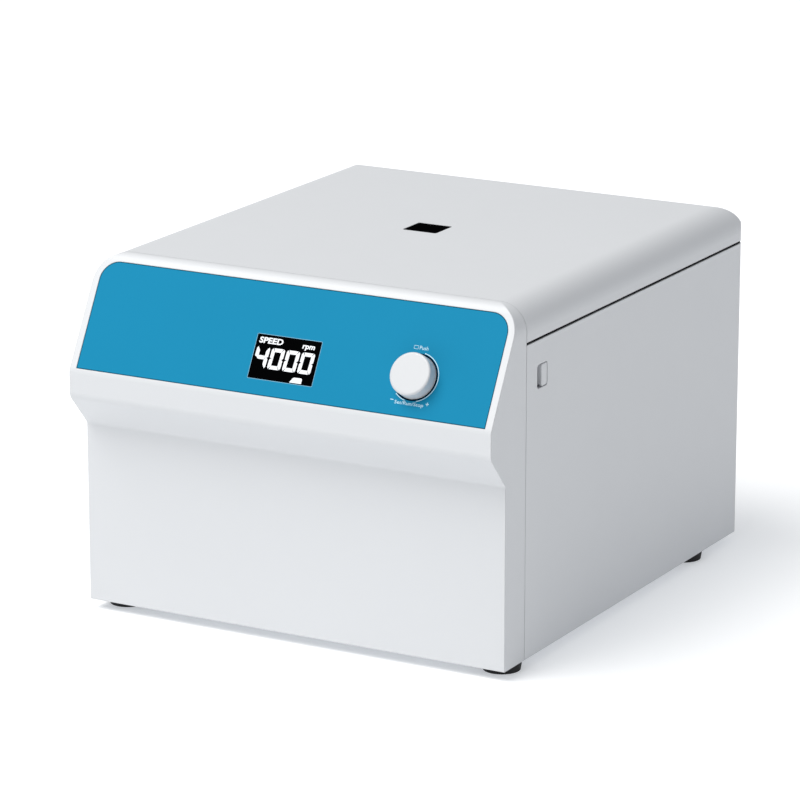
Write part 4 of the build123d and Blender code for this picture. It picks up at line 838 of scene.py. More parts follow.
@dataclass(frozen=True)
class Ground(Finish):
    """Pale seamless studio ground that glows faintly, as a lit table does."""

    name: str = "studio_floor"
    colour: Colour = (0.74, 0.74, 0.74)
    drift: float = 0.01
    drift_scale: float = 3.0
    gloss: float = 0.2
    glow: float = 0.38
    glow_colour: Colour = (0.97, 1.0, 1.035)
    rough: Span = (0.75, 0.85)

    def wire(self, coat: Coat) -> None:
        """Wires an even pale ground.

        Args:
            coat: the material.
        """
        tone = coat.tone(self.colour, self.drift, self.drift_scale)
        coat.give("Base Color", tone.outputs["Colour"])
        coat.give("Roughness", coat.spread(tone.outputs["Shade"], *self.rough))
        coat.give("Specular IOR Level", self.gloss)
        coat.give("Emission Color", self.glow_colour)
        coat.give("Emission Strength", self.glow)


# Shape helpers

@dataclass(frozen=True)
class Place:
    """A flat place on the object: an origin and two directions across it, in metres."""

    origin: Vector
    right: Vector
    up: Vector

    @property
    def out(self) -> Vector:
        """Direction out of the place."""
        return self.right.cross(self.up)

    def at(self, x: float, y: float, z: float = 0.0) -> Vector:
        """Point of the part's frame that lies at x, y and z in millimetres on this place."""
        return self.origin + (self.right * x + self.up * y + self.out * z) * MM

    def moved(self, x: float, y: float, z: float = 0.0) -> "Place":
        """The same place with its origin moved by x, y and z in millimetres."""
        return Place(self.at(x, y, z), self.right, self.up)

    def matrix(self, x: float, y: float, z: float = 0.0) -> Matrix:
        """Matrix that lays a flat drawing on this place.

        Args:
            x: where its origin goes across, in millimetres.
            y: where it goes up, in millimetres.
            z: how far it stands out, in millimetres.

        Returns:
            The matrix.
        """
        turn = Matrix((self.right, self.up, self.out)).transposed().to_4x4()
        return Matrix.Translation(self.at(x, y, z)) @ turn

    def corners(self, shape: Shape, outline: Sequence[Point2], height: float) -> list[Corner]:
        """Adds the corners of an outline.

        Args:
            shape: bmesh they go into.
            outline: the outline in millimetres.
            height: its height over the place in millimetres.

        Returns:
            The corners in the outline's order.
        """
        return [shape.verts.new(self.at(x, y, height)) for x, y in outline]


def level_place(origin: Vector) -> Place:
    """Level place at an origin, with its first direction to the machine's right."""
    return Place(origin, RIGHT, BACK)


def over_middle(node: str, height: float) -> Vector:
    """Point over the middle of a node's box.

    Args:
        node: the node's name.
        height: the point's height in metres.

    Returns:
        The point.
    """
    low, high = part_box(node)
    return Vector(((low.x + high.x) / 2, (low.y + high.y) / 2, height))


def link(name: str, data: bpy.types.ID) -> Piece:
    """Puts an object in the scene.

    Args:
        name: the object's name.
        data: its mesh, letters, lamp or camera.

    Returns:
        The object.
    """
    made = bpy.data.objects.new(name, data)
    bpy.context.scene.collection.objects.link(made)
    return made


def mesh_from(name: str, shape: Shape, smooth_angle: Optional[float] = 35.0) -> Piece:
    """Turns a bmesh into an object.

    Args:
        name: the object's name.
        shape: the bmesh, freed here.
        smooth_angle: angle in degrees under which edges are shaded smooth, or None for flat.

    Returns:
        The object.
    """
    bmesh.ops.recalc_face_normals(shape, faces=shape.faces)
    mesh = bpy.data.meshes.new(name)
    shape.to_mesh(mesh)
    shape.free()
    made = link(name, mesh)
    if smooth_angle is not None:
        mesh.shade_smooth()
        mesh.set_sharp_from_angle(angle=radians(smooth_angle))
    return made


def add_band(shape: Shape, first: Sequence[Corner], second: Sequence[Corner]) -> None:
    """Adds the faces between two loops.

    Args:
        shape: bmesh they go into.
        first: the first loop.
        second: the second loop, with as many corners.
    """
    for index in range(len(first)):
        after = (index + 1) % len(first)
        shape.faces.new((first[index], first[after], second[after], second[index]))


def add_block(shape: Shape, foot: Sequence[Corner], top: Sequence[Corner]) -> bmesh.types.BMFace:
    """Adds the faces of a closed block.

    Args:
        shape: bmesh they go into.
        foot: the loop at its foot.
        top: the loop at its top, with as many corners.

    Returns:
        The top face.
    """
    lid = shape.faces.new(top)
    shape.faces.new(list(reversed(foot)))
    add_band(shape, foot, top)
    return lid


def add_prism(shape: Shape, place: Place, outline: Sequence[Point2], low: float, high: float,
              bevel: float = 0.0, segments: int = 2) -> None:
    """Adds an upright prism on a place.

    Args:
        shape: bmesh it goes into.
        place: the place it stands on.
        outline: its outline in millimetres, anticlockwise.
        low: height of its foot in millimetres.
        high: height of its top in millimetres.
        bevel: width of the rounding on its top edges, in millimetres.
        segments: steps in that rounding.
    """
    foot = place.corners(shape, outline, low)
    lid = add_block(shape, foot, place.corners(shape, outline, high))
    if bevel:
        bmesh.ops.bevel(shape, geom=list(lid.edges), offset=bevel * MM, segments=segments,
                        profile=0.5, affect="EDGES")


def add_ring(shape: Shape, place: Place, outer: Sequence[Point2], inner: Sequence[Point2],
             high: float) -> None:
    """Adds a thin flat frame between two outlines.

    Args:
        shape: bmesh it goes into.
        place: the place it lies on.
        outer: its outer outline in millimetres.
        inner: its inner outline, with as many points.
        high: its height over the place in millimetres.
    """
    first = place.corners(shape, outer, high)
    add_band(shape, first, place.corners(shape, inner, high))


def circle(radius: float, steps: int) -> list[Point2]:
    """Outline of a circle, anticlockwise in even steps."""
    return [(radius * cos(tau * step / steps), radius * sin(tau * step / steps)) for step in range(steps)]


def add_lathe(shape: Shape, place: Place, profile: Sequence[Point2], steps: int = 64) -> None:
    """Adds a turned ring or solid on a place.

    Args:
        shape: bmesh it goes into.
        place: its axis stands out of this place's origin.
        profile: radius and height points in millimetres; a closed ring when no radius is 0.
        steps: faces round the axis.
    """
    rings = [place.corners(shape, circle(radius, steps) if radius else [(0.0, 0.0)], height)
             for radius, height in profile]
    closed = all(len(ring) > 1 for ring in rings)
    after_rings = rings[1:] + rings[:1] if closed else rings[1:]
    for first, second in zip(rings, after_rings):
        for step in range(steps):
            after = (step + 1) % steps
            corners = [first[step % len(first)], first[after % len(first)],
                       second[after % len(second)], second[step % len(second)]]
            unique = list(dict.fromkeys(corners))
            if len(unique) > 2:
                shape.faces.new(unique)


def rounded_box(width: float, height: float, corner: float, steps: int = 5,
                centre: Point2 = (0.0, 0.0)) -> list[Point2]:
    """Outline of a rectangle with rounded corners.

    Args:
        width: size across in millimetres.
        height: size up in millimetres.
        corner: radius of its corners.
        steps: steps in each corner.
        centre: its middle.

    Returns:
        Points, anticlockwise.
    """
    points: list[Point2] = []
    for turn, (side, rise) in enumerate(((1, 1), (-1, 1), (-1, -1), (1, -1))):
        mid = (centre[0] + side * (width / 2 - corner), centre[1] + rise * (height / 2 - corner))
        for step in range(steps + 1):
            angle = (turn + step / steps) * pi / 2
            points.append((mid[0] + corner * cos(angle), mid[1] + corner * sin(angle)))
    return points


def arc_band(radius: float, width: float, start: float, end: float, steps: int = 40) -> list[Point2]:
    """Outline of a printed arc.

    Args:
        radius: radius of its middle line in millimetres.
        width: width of the line.
        start: start angle in degrees, anticlockwise from the right.
        end: end angle in degrees.
        steps: steps along it.

    Returns:
        Points, anticlockwise.
    """
    angles = [radians(start + (end - start) * step / steps) for step in range(steps + 1)]
    outer, inner = ([(reach * cos(angle), reach * sin(angle)) for angle in angles]
                    for reach in (radius + width / 2, radius - width / 2))
    return outer + inner[::-1]


def spaced(count: int, pitch: float) -> list[float]:
    """Places of a centred row, one pitch apart."""
    return [(index - (count - 1) / 2) * pitch for index in range(count)]


@dataclass(frozen=True)
class Label:
    """Raised words with their full size and their middle, in millimetres on a place."""

    name: str
    words: str
    width: Optional[float]
    height: float
    x: float
    y: float
    lift: float
    weight: float = 0.0
    slant: float = 0.0
    thickness: float = 0.03
    curve_steps: int = 4
    draft_depth: float = 0.5

    def build(self, place: Place) -> Piece:
        """Builds the words as a mesh; with no width they keep the font's own.

        Args:
            place: the place they stand on.

        Returns:
            The piece.
        """
        text = bpy.data.curves.new(self.name, "FONT")
        text.body = self.words
        text.offset = self.weight
        text.shear = self.slant
        text.resolution_u = self.curve_steps
        text.extrude = self.draft_depth
        drawn = link(self.name + "_draft", text)
        bpy.context.view_layer.update()
        mesh = bpy.data.meshes.new_from_object(drawn)
        bpy.data.objects.remove(drawn)
        bpy.data.curves.remove(text)
        mesh.name = self.name
        low, high = (Vector([end(vert.co[axis] for vert in mesh.vertices) for axis in range(3)])
                     for end in (min, max))
        rise = self.height * MM / (high.y - low.y)
        across = rise if self.width is None else self.width * MM / (high.x - low.x)
        fit = Matrix.Diagonal((across, rise, self.thickness * MM / (high.z - low.z), 1.0))
        middle = Matrix.Translation(-(low + high) / 2)
        mesh.transform(place.matrix(self.x, self.y, self.lift) @ fit @ middle)
        return link(self.name, mesh)


# Finishes of this machine

WHITE = srgb(206, 208, 211)
CASE_PLASTIC = MouldedPlastic("case_plastic", WHITE, rough=0.45, dust=0.02, drift=0.02)
LID_PLASTIC = MouldedPlastic("lid_plastic", WHITE, rough=0.45, dust=0.02, drift=0.02)
LINER_PLASTIC = MouldedPlastic("liner_plastic", WHITE, rough=0.5)
DECK_PLASTIC = MouldedPlastic("deck_plastic", srgb(196, 199, 203), rough=0.5, dust=0.08)
KNOB_PLASTIC = MouldedPlastic("knob_plastic", srgb(197, 199, 202), rough=0.32, wear=0.1, dust=0.0)
# Painted shade: the release guide's grey stands in for the shade inside the side's release port.
GUIDE_PORT_SHADE = MouldedPlastic("guide_plastic", srgb(104, 107, 113), rough=0.5, dust=0.0)
BLACK_PLASTIC = MouldedPlastic("black_plastic", srgb(28, 28, 30), rough=0.45, drift=0.2)
SWITCH_PLASTIC = MouldedPlastic("switch_plastic", srgb(22, 22, 24), rough=0.28, drift=0.15,
                                grain_depth=0.000008)
DRAWER_PLASTIC = MouldedPlastic("drawer_plastic", srgb(38, 38, 41), rough=0.4, drift=0.15)
NYLON = MouldedPlastic("nylon", srgb(222, 220, 208), rough=0.5)
PANEL_FILM = PrintedFilm("panel_film", (0.0085, 0.212, 0.378), rough=0.42, gloss=0.03, dust=0.004)
PRINT_WHITE = PrintedFilm("print_white", srgb(200, 230, 241), rough=0.42, gloss=0.1)
# Painted shade: this dark colour, used only for the line round the knob's well, stands in for the shade of the
# gap.
RIM_SHADE_DARK = PrintedFilm("print_dark", (0.003, 0.012, 0.03), rough=0.5, gloss=0.02, dust=0.0)
# Painted shade: a dark blue line round the film stands in for the shade of the gap at its edge.
FILM_BORDER_SHADE = PrintedFilm("film_edge", (0.003, 0.07, 0.115), rough=0.45, gloss=0.02, dust=0.0)
PRINT_PALE = PrintedFilm("print_pale", srgb(120, 170, 195), rough=0.42, gloss=0.1)
DISPLAY_BLACK = PrintedFilm("display_black", (0.0006, 0.0006, 0.0008), rough=0.2, gloss=0.004, dust=0.0)
DISPLAY_LIT = Lit("display_lit", srgb(205, 207, 210), strength=0.35)
DISPLAY_GLASS = ClearPlate("display_glass", (0.97, 0.98, 0.98), rough=0.05, gloss=0.0)
# Partly painted shade: a smoked window, made opaque and near black in place of the shaded chamber seen through
# it.
SMOKED_SHADE_GLASS = ClearPlate("smoked_glass", (0.0012, 0.0012, 0.0014), clear=0.0, rough=0.12, gloss=0.0)
FUSE_GLASS = ClearPlate("fuse_glass", (0.93, 0.96, 0.95))
RUBBER = Rubber("black_rubber")
GASKET_RUBBER = Rubber("gasket_rubber", (0.02, 0.021, 0.023), rough=0.62)
# Partly painted shade: a black rubber seal, made darker and duller than rubber so the gap round the lid reads
# as shade.
GAP_SHADE_SEAL = Rubber("seal_rubber", (0.003, 0.003, 0.004), rough=0.8, gloss=0.05, bloom=0.02)
# Painted shade: this dark navy lining of the knob's well stands in for the shade in the gap round the knob.
WELL_SHADE_LINING = Rubber("well_felt", (0.004, 0.022, 0.055), rough=0.9, gloss=0.02, bloom=0.0)
ZINC_SHEET = Metal("zinc_sheet", srgb(186, 190, 196), rough=0.34, lines=(25.0, 900.0, 900.0))
ZINC_SCREW = Metal("zinc_screw", srgb(198, 201, 206), rough=0.22, lines=(900.0, 900.0, 900.0), depth=0.00001)
HINGE_STEEL = Metal("hinge_steel", srgb(190, 193, 198), rough=0.28, lines=(40.0, 2500.0, 2500.0))
TURNED_STEEL = Metal("turned_steel", srgb(188, 190, 194), rough=0.22, lines=(2500.0, 2500.0, 60.0))
BRASS = Metal("brass", srgb(214, 180, 104), rough=0.2, depth=0.00001)
MOTOR_PAINT = PaintedMetal("motor_paint", srgb(52, 55, 60))
SOLENOID_TAPE = PaintedMetal("solenoid_tape", srgb(196, 160, 52), rough=0.45, chips=0.1)
TRANSFORMER_TAPE = PaintedMetal("transformer_tape", srgb(202, 172, 60), rough=0.42, chips=0.1)
CAPACITOR_SLEEVE = PaintedMetal("capacitor_sleeve", srgb(26, 36, 66), rough=0.3, chips=0.1)
CORE_PLATES = Laminations("core_plates")
TRANSFORMER_PLATES = Laminations("transformer_plates", (0.1, 0.1, 0.105), stacked="Y")
BOARD = CircuitBoard("circuit_board")
CHIP_CASE = MouldedPlastic("chip_case", srgb(32, 32, 34), rough=0.5, drift=0.1)
TERMINAL_GREEN = MouldedPlastic("terminal_green", srgb(40, 120, 62), rough=0.4)
RELAY_CASE = MouldedPlastic("relay_case", srgb(38, 60, 104), rough=0.3)
RESISTOR_COAT = MouldedPlastic("resistor_coat", srgb(150, 176, 186), rough=0.45)
DISC_COAT = MouldedPlastic("disc_coat", srgb(178, 98, 40), rough=0.4)
CAN_TOP = Metal("can_top", srgb(200, 202, 206), rough=0.3, lines=(300.0, 300.0, 300.0), depth=0.00001)
ROTOR_PRINT = PrintedFilm("rotor_print", srgb(28, 30, 34), rough=0.5, gloss=0.2)
SWITCH_PRINT = PrintedFilm("switch_print", srgb(226, 228, 230), rough=0.45, gloss=0.2)
GROUND = Ground()


def body_with(node: str) -> str:
    """Name of the body that a node belongs to."""
    bodies = frame["record"]["behaviour"]["bodies"]
    return next(body for body, nodes in bodies.items() if node in nodes)


def loose_parts(node: str) -> list[list[Vector]]:
    """Corner points of each separate solid in a node.

    Args:
        node: the node's name.

    Returns:
        One list of points in metres for each solid.
    """
    mesh = frame["nodes"][node].data
    keys = [tuple(round(value * 1e6) for value in vert.co) for vert in mesh.vertices]
    owner = {key: key for key in keys}

    def head(key: tuple[int, ...]) -> tuple[int, ...]:
        """The key that stands for a key's solid.

        Args:
            key: a corner's place in micrometres.

        Returns:
            The place of the corner that its whole solid is known by.
        """
        while owner[key] != key:
            owner[key] = owner[owner[key]]
            key = owner[key]
        return key

    for edge in mesh.edges:
        first, second = (head(keys[vert]) for vert in edge.vertices)
        owner[first] = second
    parts: dict[tuple[int, ...], list[Vector]] = {}
    for key in owner:
        parts.setdefault(head(key), []).append(Vector(key) * 1e-6)
    return list(parts.values())


@dataclass
class Screws:
    """Pan-head screws with cross recesses and threads, fitted into the room of plain solids.

    The head is drawn with a radius and a height of 1000 mm, and scaled to each screw.
    """

    head_profile: tuple[Point2, ...] = (
        (0, 0), (1000, 0), (1000, 300), (950, 560), (820, 800), (600, 940), (300, 990), (0, 1000))
    steps: int = 28
    shank_steps: int = 14
    slot_half: float = 150.0
    slot_reach: float = 620.0
    slot_foot: float = 450.0
    slot_top: float = 1100.0
    foot_share: float = 0.55
    top_share: float = 1.05
    head_from: float = 0.9
    shank_below: float = 0.85
    pitch: float = 0.6
    plain: float = 0.4
    tip: float = 0.6
    neck_share: float = 0.92
    root_share: float = 0.86
    end_share: float = 0.8
    point_share: float = 0.55
    point: float = 0.2

    def __post_init__(self) -> None:
        """Cuts the head that every screw copies."""
        place = level_place(Vector((0, 0, 0)))
        shape = bmesh.new()
        add_lathe(shape, place, self.head_profile, self.steps)
        head = mesh_from("screw_head_draft", shape)
        cutters = []
        for along, across in ((self.slot_reach, self.slot_half), (self.slot_half, self.slot_reach)):
            slot = bmesh.new()
            foot, top = ([(x * along * share, y * across * share) for x, y in SQUARE]
                         for share in (self.foot_share, self.top_share))
            lower = place.corners(slot, foot, self.slot_foot)
            add_block(slot, lower, place.corners(slot, top, self.slot_top))
            cutter = mesh_from("screw_slot_draft", slot, None)
            cut = head.modifiers.new("recess", "BOOLEAN")
            cut.operation = "DIFFERENCE"
            cut.solver = "EXACT"
            cut.object = cutter
            cutters.append(cutter)
        bpy.context.view_layer.update()
        done = head.evaluated_get(bpy.context.evaluated_depsgraph_get())
        self.head = bpy.data.meshes.new_from_object(done)
        for draft in (head, *cutters):
            bpy.data.objects.remove(draft)

    def fit(self, name: str, node: str, outward: Vector) -> Piece:
        """Builds the screws of one node.

        Args:
            name: the new piece's name.
            node: the node whose plain screws they stand for.
            outward: direction from the shanks to the heads.

        Returns:
            The piece.
        """
        shape = bmesh.new()
        right = outward.orthogonal().normalized()
        up = outward.cross(right)
        for points in loose_parts(node):
            across = [[point.dot(axis) for point in points] for axis in (right, up)]
            middle = [(min(values) + max(values)) / 2 for values in across]
            radius = (max(across[0]) - min(across[0])) / 2
            reach = [((x - middle[0]) ** 2 + (y - middle[1]) ** 2) ** 0.5 for x, y in zip(*across)]
            along = [point.dot(outward) for point in points]
            wide = [value for value, far in zip(along, reach) if far > radius * self.head_from]
            thin = max(far for far in reach if far < radius * self.shank_below)
            seat, top, foot = min(wide), max(wide), min(along)
            place = Place(right * middle[0] + up * middle[1] + outward * seat, right, up)
            turn = Matrix((right, up, outward)).transposed().to_4x4()
            size = Matrix.Diagonal((radius, radius, top - seat, 1.0))
            head = self.head.copy()
            head.transform(Matrix.Translation(place.origin) @ turn @ size)
            shape.from_mesh(head)
            bpy.data.meshes.remove(head)
            self._shank(shape, place, thin / MM, (seat - foot) / MM)
        return mesh_from(name, shape)

    def _shank(self, shape: Shape, place: Place, radius: float, length: float) -> None:
        """Adds a threaded shank under a head.

        Args:
            shape: bmesh it goes into.
            place: the head's seat.
            radius: the thread's outer radius in millimetres.
            length: its length in millimetres.
        """
        turns = int((length - (self.plain + self.tip)) / self.pitch)
        profile: list[Point2] = [(0, 0), (radius * self.neck_share, 0)]
        for turn in range(turns):
            height = -self.plain - turn * self.pitch
            profile += [(radius * self.root_share, height), (radius, height - self.pitch / 2)]
        profile += [(radius * self.end_share, -length + self.point), (radius * self.point_share, -length),
                    (0, -length)]
        add_lathe(shape, place, profile, self.shank_steps)


class PartKind(Enum):
    """Kinds of component on a circuit board, each with its finish and material slot."""

    CHIP = ("chip", CHIP_CASE, "dark_plastic")
    TERMINAL = ("terminal", TERMINAL_GREEN, "board")
    RELAY = ("relay", RELAY_CASE, "dark_plastic")
    RESISTOR = ("resistor", RESISTOR_COAT, "dark_plastic")
    DISC = ("disc", DISC_COAT, "dark_plastic")
    PLUG = ("plug", NYLON, "liner")

    @property
    def finish(self) -> Finish:
        """The component's finish."""
        return self.value[1]

    @property
    def slot(self) -> str:
        """Name of a material slot that the component carries."""
        return self.value[2]


@dataclass(frozen=True)
class BoardPart:
    """One component on a circuit board, with its size and its details in millimetres."""

    name: str
    kind: PartKind
    x: float
    y: float
    width: float
    length: float
    height: float
    corner: float = 0.3
    bevel: float = 0.25
    chip_lift: float = 0.3
    leg_pitch: float = 1.27
    leg_size: Span = (1.4, 0.45)
    leg_corner: float = 0.1
    leg_out: float = 0.5
    leg_high: float = 0.55
    leg_bevel: float = 0.08
    dimple_inset: float = 1.2
    dimple: tuple[Point2, ...] = ((0, 0.0), (0.5, 0.0), (0.45, 0.04), (0, 0.04))
    way_pitch: float = 5.08
    collar: tuple[Point2, ...] = ((1.2, 0.0), (1.7, 0.0), (1.6, 0.35), (1.3, 0.35))
    cheek: float = 0.5
    cheek_over: float = 0.6
    cheek_corner: float = 0.15
    cheek_share: float = 0.8
    cheek_bevel: float = 0.1
    lead: float = 0.6
    lead_corner: float = 0.25
    lead_bevel: float = 0.2
    lying_lift: float = 0.4
    cap_share: float = 0.7
    waist_share: float = 0.86
    cap_steps: Triple = (0.4, 1.4, 1.8)
    lead_out: float = 0.9
    bridge_out: float = 0.4
    bridge: float = 1.4
    bridge_low: float = 0.1
    bridge_high: float = 0.7
    disc_lift: float = 1.2
    disc_share: float = 0.75
    disc_flat: float = 0.4
    disc_lead_share: float = 0.5
    disc_lead_high: float = 2.6

    def build(self, board: Place) -> Piece:
        """Builds the component on a board's face.

        Args:
            board: the face, with its origin at the middle.

        Returns:
            The piece.
        """
        shape = bmesh.new()
        spot = board.moved(self.x, self.y)
        if self.kind is PartKind.RESISTOR:
            self._axial(shape, spot)
        elif self.kind is PartKind.DISC:
            self._disc(shape, spot)
        else:
            self._body(shape, spot)
        return mesh_from(self.name, shape)

    def _body(self, shape: Shape, spot: Place) -> None:
        """Adds a bevelled body with the openings or legs of its kind.

        Args:
            shape: bmesh it goes into.
            spot: the component's place.
        """
        lift = self.chip_lift if self.kind is PartKind.CHIP else 0.0
        body = rounded_box(self.width, self.length, self.corner, steps=2)
        add_prism(shape, spot, body, lift, self.height, self.bevel, segments=1)
        if self.kind is PartKind.CHIP:
            self._legs(shape, spot)
        elif self.kind in (PartKind.TERMINAL, PartKind.PLUG):
            self._ways(shape, spot)

    def _legs(self, shape: Shape, spot: Place) -> None:
        """Adds a chip's legs and the dimple at its first leg.

        Args:
            shape: bmesh they go into.
            spot: the component's place.
        """
        for along in spaced(int(self.length / self.leg_pitch) - 1, self.leg_pitch):
            for side in (-1, 1):
                middle = (side * (self.width / 2 + self.leg_out), along)
                leg = rounded_box(*self.leg_size, self.leg_corner, steps=1, centre=middle)
                add_prism(shape, spot, leg, 0.0, self.leg_high, self.leg_bevel, segments=1)
        dimple = spot.moved(0, self.length / 2 - self.dimple_inset, self.height)
        add_lathe(shape, dimple, self.dimple, steps=16)

    def _ways(self, shape: Shape, spot: Place) -> None:
        """Adds the collar and the cheek of each way of a terminal or plug.

        Args:
            shape: bmesh they go into.
            spot: the component's place.
        """
        count = max(2, int(self.width / self.way_pitch))
        pitch = self.width / count
        for across in spaced(count, pitch):
            add_lathe(shape, spot.moved(across, 0, self.height), self.collar, steps=20)
            middle = (across + pitch / 2 - self.cheek / 2, 0)
            cheek = rounded_box(self.cheek, self.length + self.cheek_over, self.cheek_corner, steps=1,
                                centre=middle)
            add_prism(shape, spot, cheek, 0.0, self.height * self.cheek_share, self.cheek_bevel, segments=1)

    def _axial(self, shape: Shape, spot: Place) -> None:
        """Adds a lying body with its end caps and bent leads.

        Args:
            shape: bmesh it goes into.
            spot: the component's place.
        """
        radius, half = self.length / 2, self.width / 2
        axis = radius + self.lying_lift
        first, second, third = self.cap_steps
        end = [(0, -half), (radius * self.cap_share, -half), (radius, first - half), (radius, second - half),
               (radius * self.waist_share, third - half)]
        lying = Place(spot.at(0, 0, axis), spot.up, spot.out)
        add_lathe(shape, lying, end + [(reach, -along) for reach, along in reversed(end)], steps=20)
        low, high = radius + self.bridge_low, radius + self.bridge_high
        for side in (-1, 1):
            middle = (side * (half + self.lead_out), 0)
            lead = rounded_box(self.lead, self.lead, self.lead_corner, steps=2, centre=middle)
            add_prism(shape, spot, lead, 0.0, axis, self.lead_bevel, segments=1)
            middle = (side * (half + self.bridge_out), 0)
            bridge = rounded_box(self.bridge, self.lead, self.lead_corner, steps=2, centre=middle)
            add_prism(shape, spot, bridge, low, high, self.lead_bevel, segments=1)

    def _disc(self, shape: Shape, spot: Place) -> None:
        """Adds an upright disc on two leads.

        Args:
            shape: bmesh it goes into.
            spot: the component's place.
        """
        radius, half = self.width / 2, self.length / 2
        upright = Place(spot.at(0, 0, radius + self.disc_lift), spot.right, spot.out)
        end = [(0, -half), (radius * self.disc_share, -half), (radius, -half * self.disc_flat)]
        add_lathe(shape, upright, end + [(reach, -along) for reach, along in reversed(end)], steps=28)
        for side in (-1, 1):
            middle = (side * radius * self.disc_lead_share, 0)
            lead = rounded_box(self.lead, self.lead, self.lead_corner, steps=2, centre=middle)
            add_prism(shape, spot, lead, 0.0, self.disc_lead_high)


@dataclass
class Assembly:
    """A sub-assembly of the machine, which dresses its nodes and adds its own pieces."""

    effects: Effects
    finishes: dict[str, Finish] = field(default_factory=dict)
    screws: dict[str, Triple] = field(default_factory=dict)

    def drive(self, pattern: Screws) -> None:
        """Puts real screws in the place of the assembly's plain ones.

        Args:
            pattern: the screws' pattern.
        """
        for node, outward in self.screws.items():
            piece = pattern.fit(node + "_cut", node, Vector(outward).normalized())
            self.keep(piece, body_with(node), self.finishes[node], slot="zinc_screws", replaces=(node,))

    def dress(self) -> None:
        """Gives each of the assembly's nodes its finish."""
        for node, finish in self.finishes.items():
            solid = frame["nodes"][node]
            solid.data.materials.clear()
            solid.data.materials.append(finish.material(self.effects))
            log.info("dressed %s in %s", node, finish.name)

    def keep(self, piece: Piece, body: str, finish: Finish, *, slot: str = "",
             replaces: Iterable[str] = ()) -> Piece:
        """Finishes a new piece and lets it ride.

        Args:
            piece: the object.
            body: the body that it rides on.
            finish: its finish.
            slot: not used.
            replaces: nodes that it stands for.

        Returns:
            The piece.
        """
        piece.data.materials.clear()
        piece.data.materials.append(finish.material(self.effects))
        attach(piece, body)
        if replaces:
            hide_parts(*replaces)
        log.info("made %s on %s", piece.name, body)
        return piece

    def build(self) -> None:
        """Builds the assembly's own pieces."""


def panel_place() -> Place:
    """Place of the sloped panel.

    Returns:
        The film's face, with its origin at the middle of the lower edge.
    """
    slope = radians(SLOPE)
    low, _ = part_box("panel_overlay")
    origin = Vector((0.0, low.y, low.z + FILM * MM * sin(slope)))
    return Place(origin, RIGHT, Vector((0, sin(slope), cos(slope))))


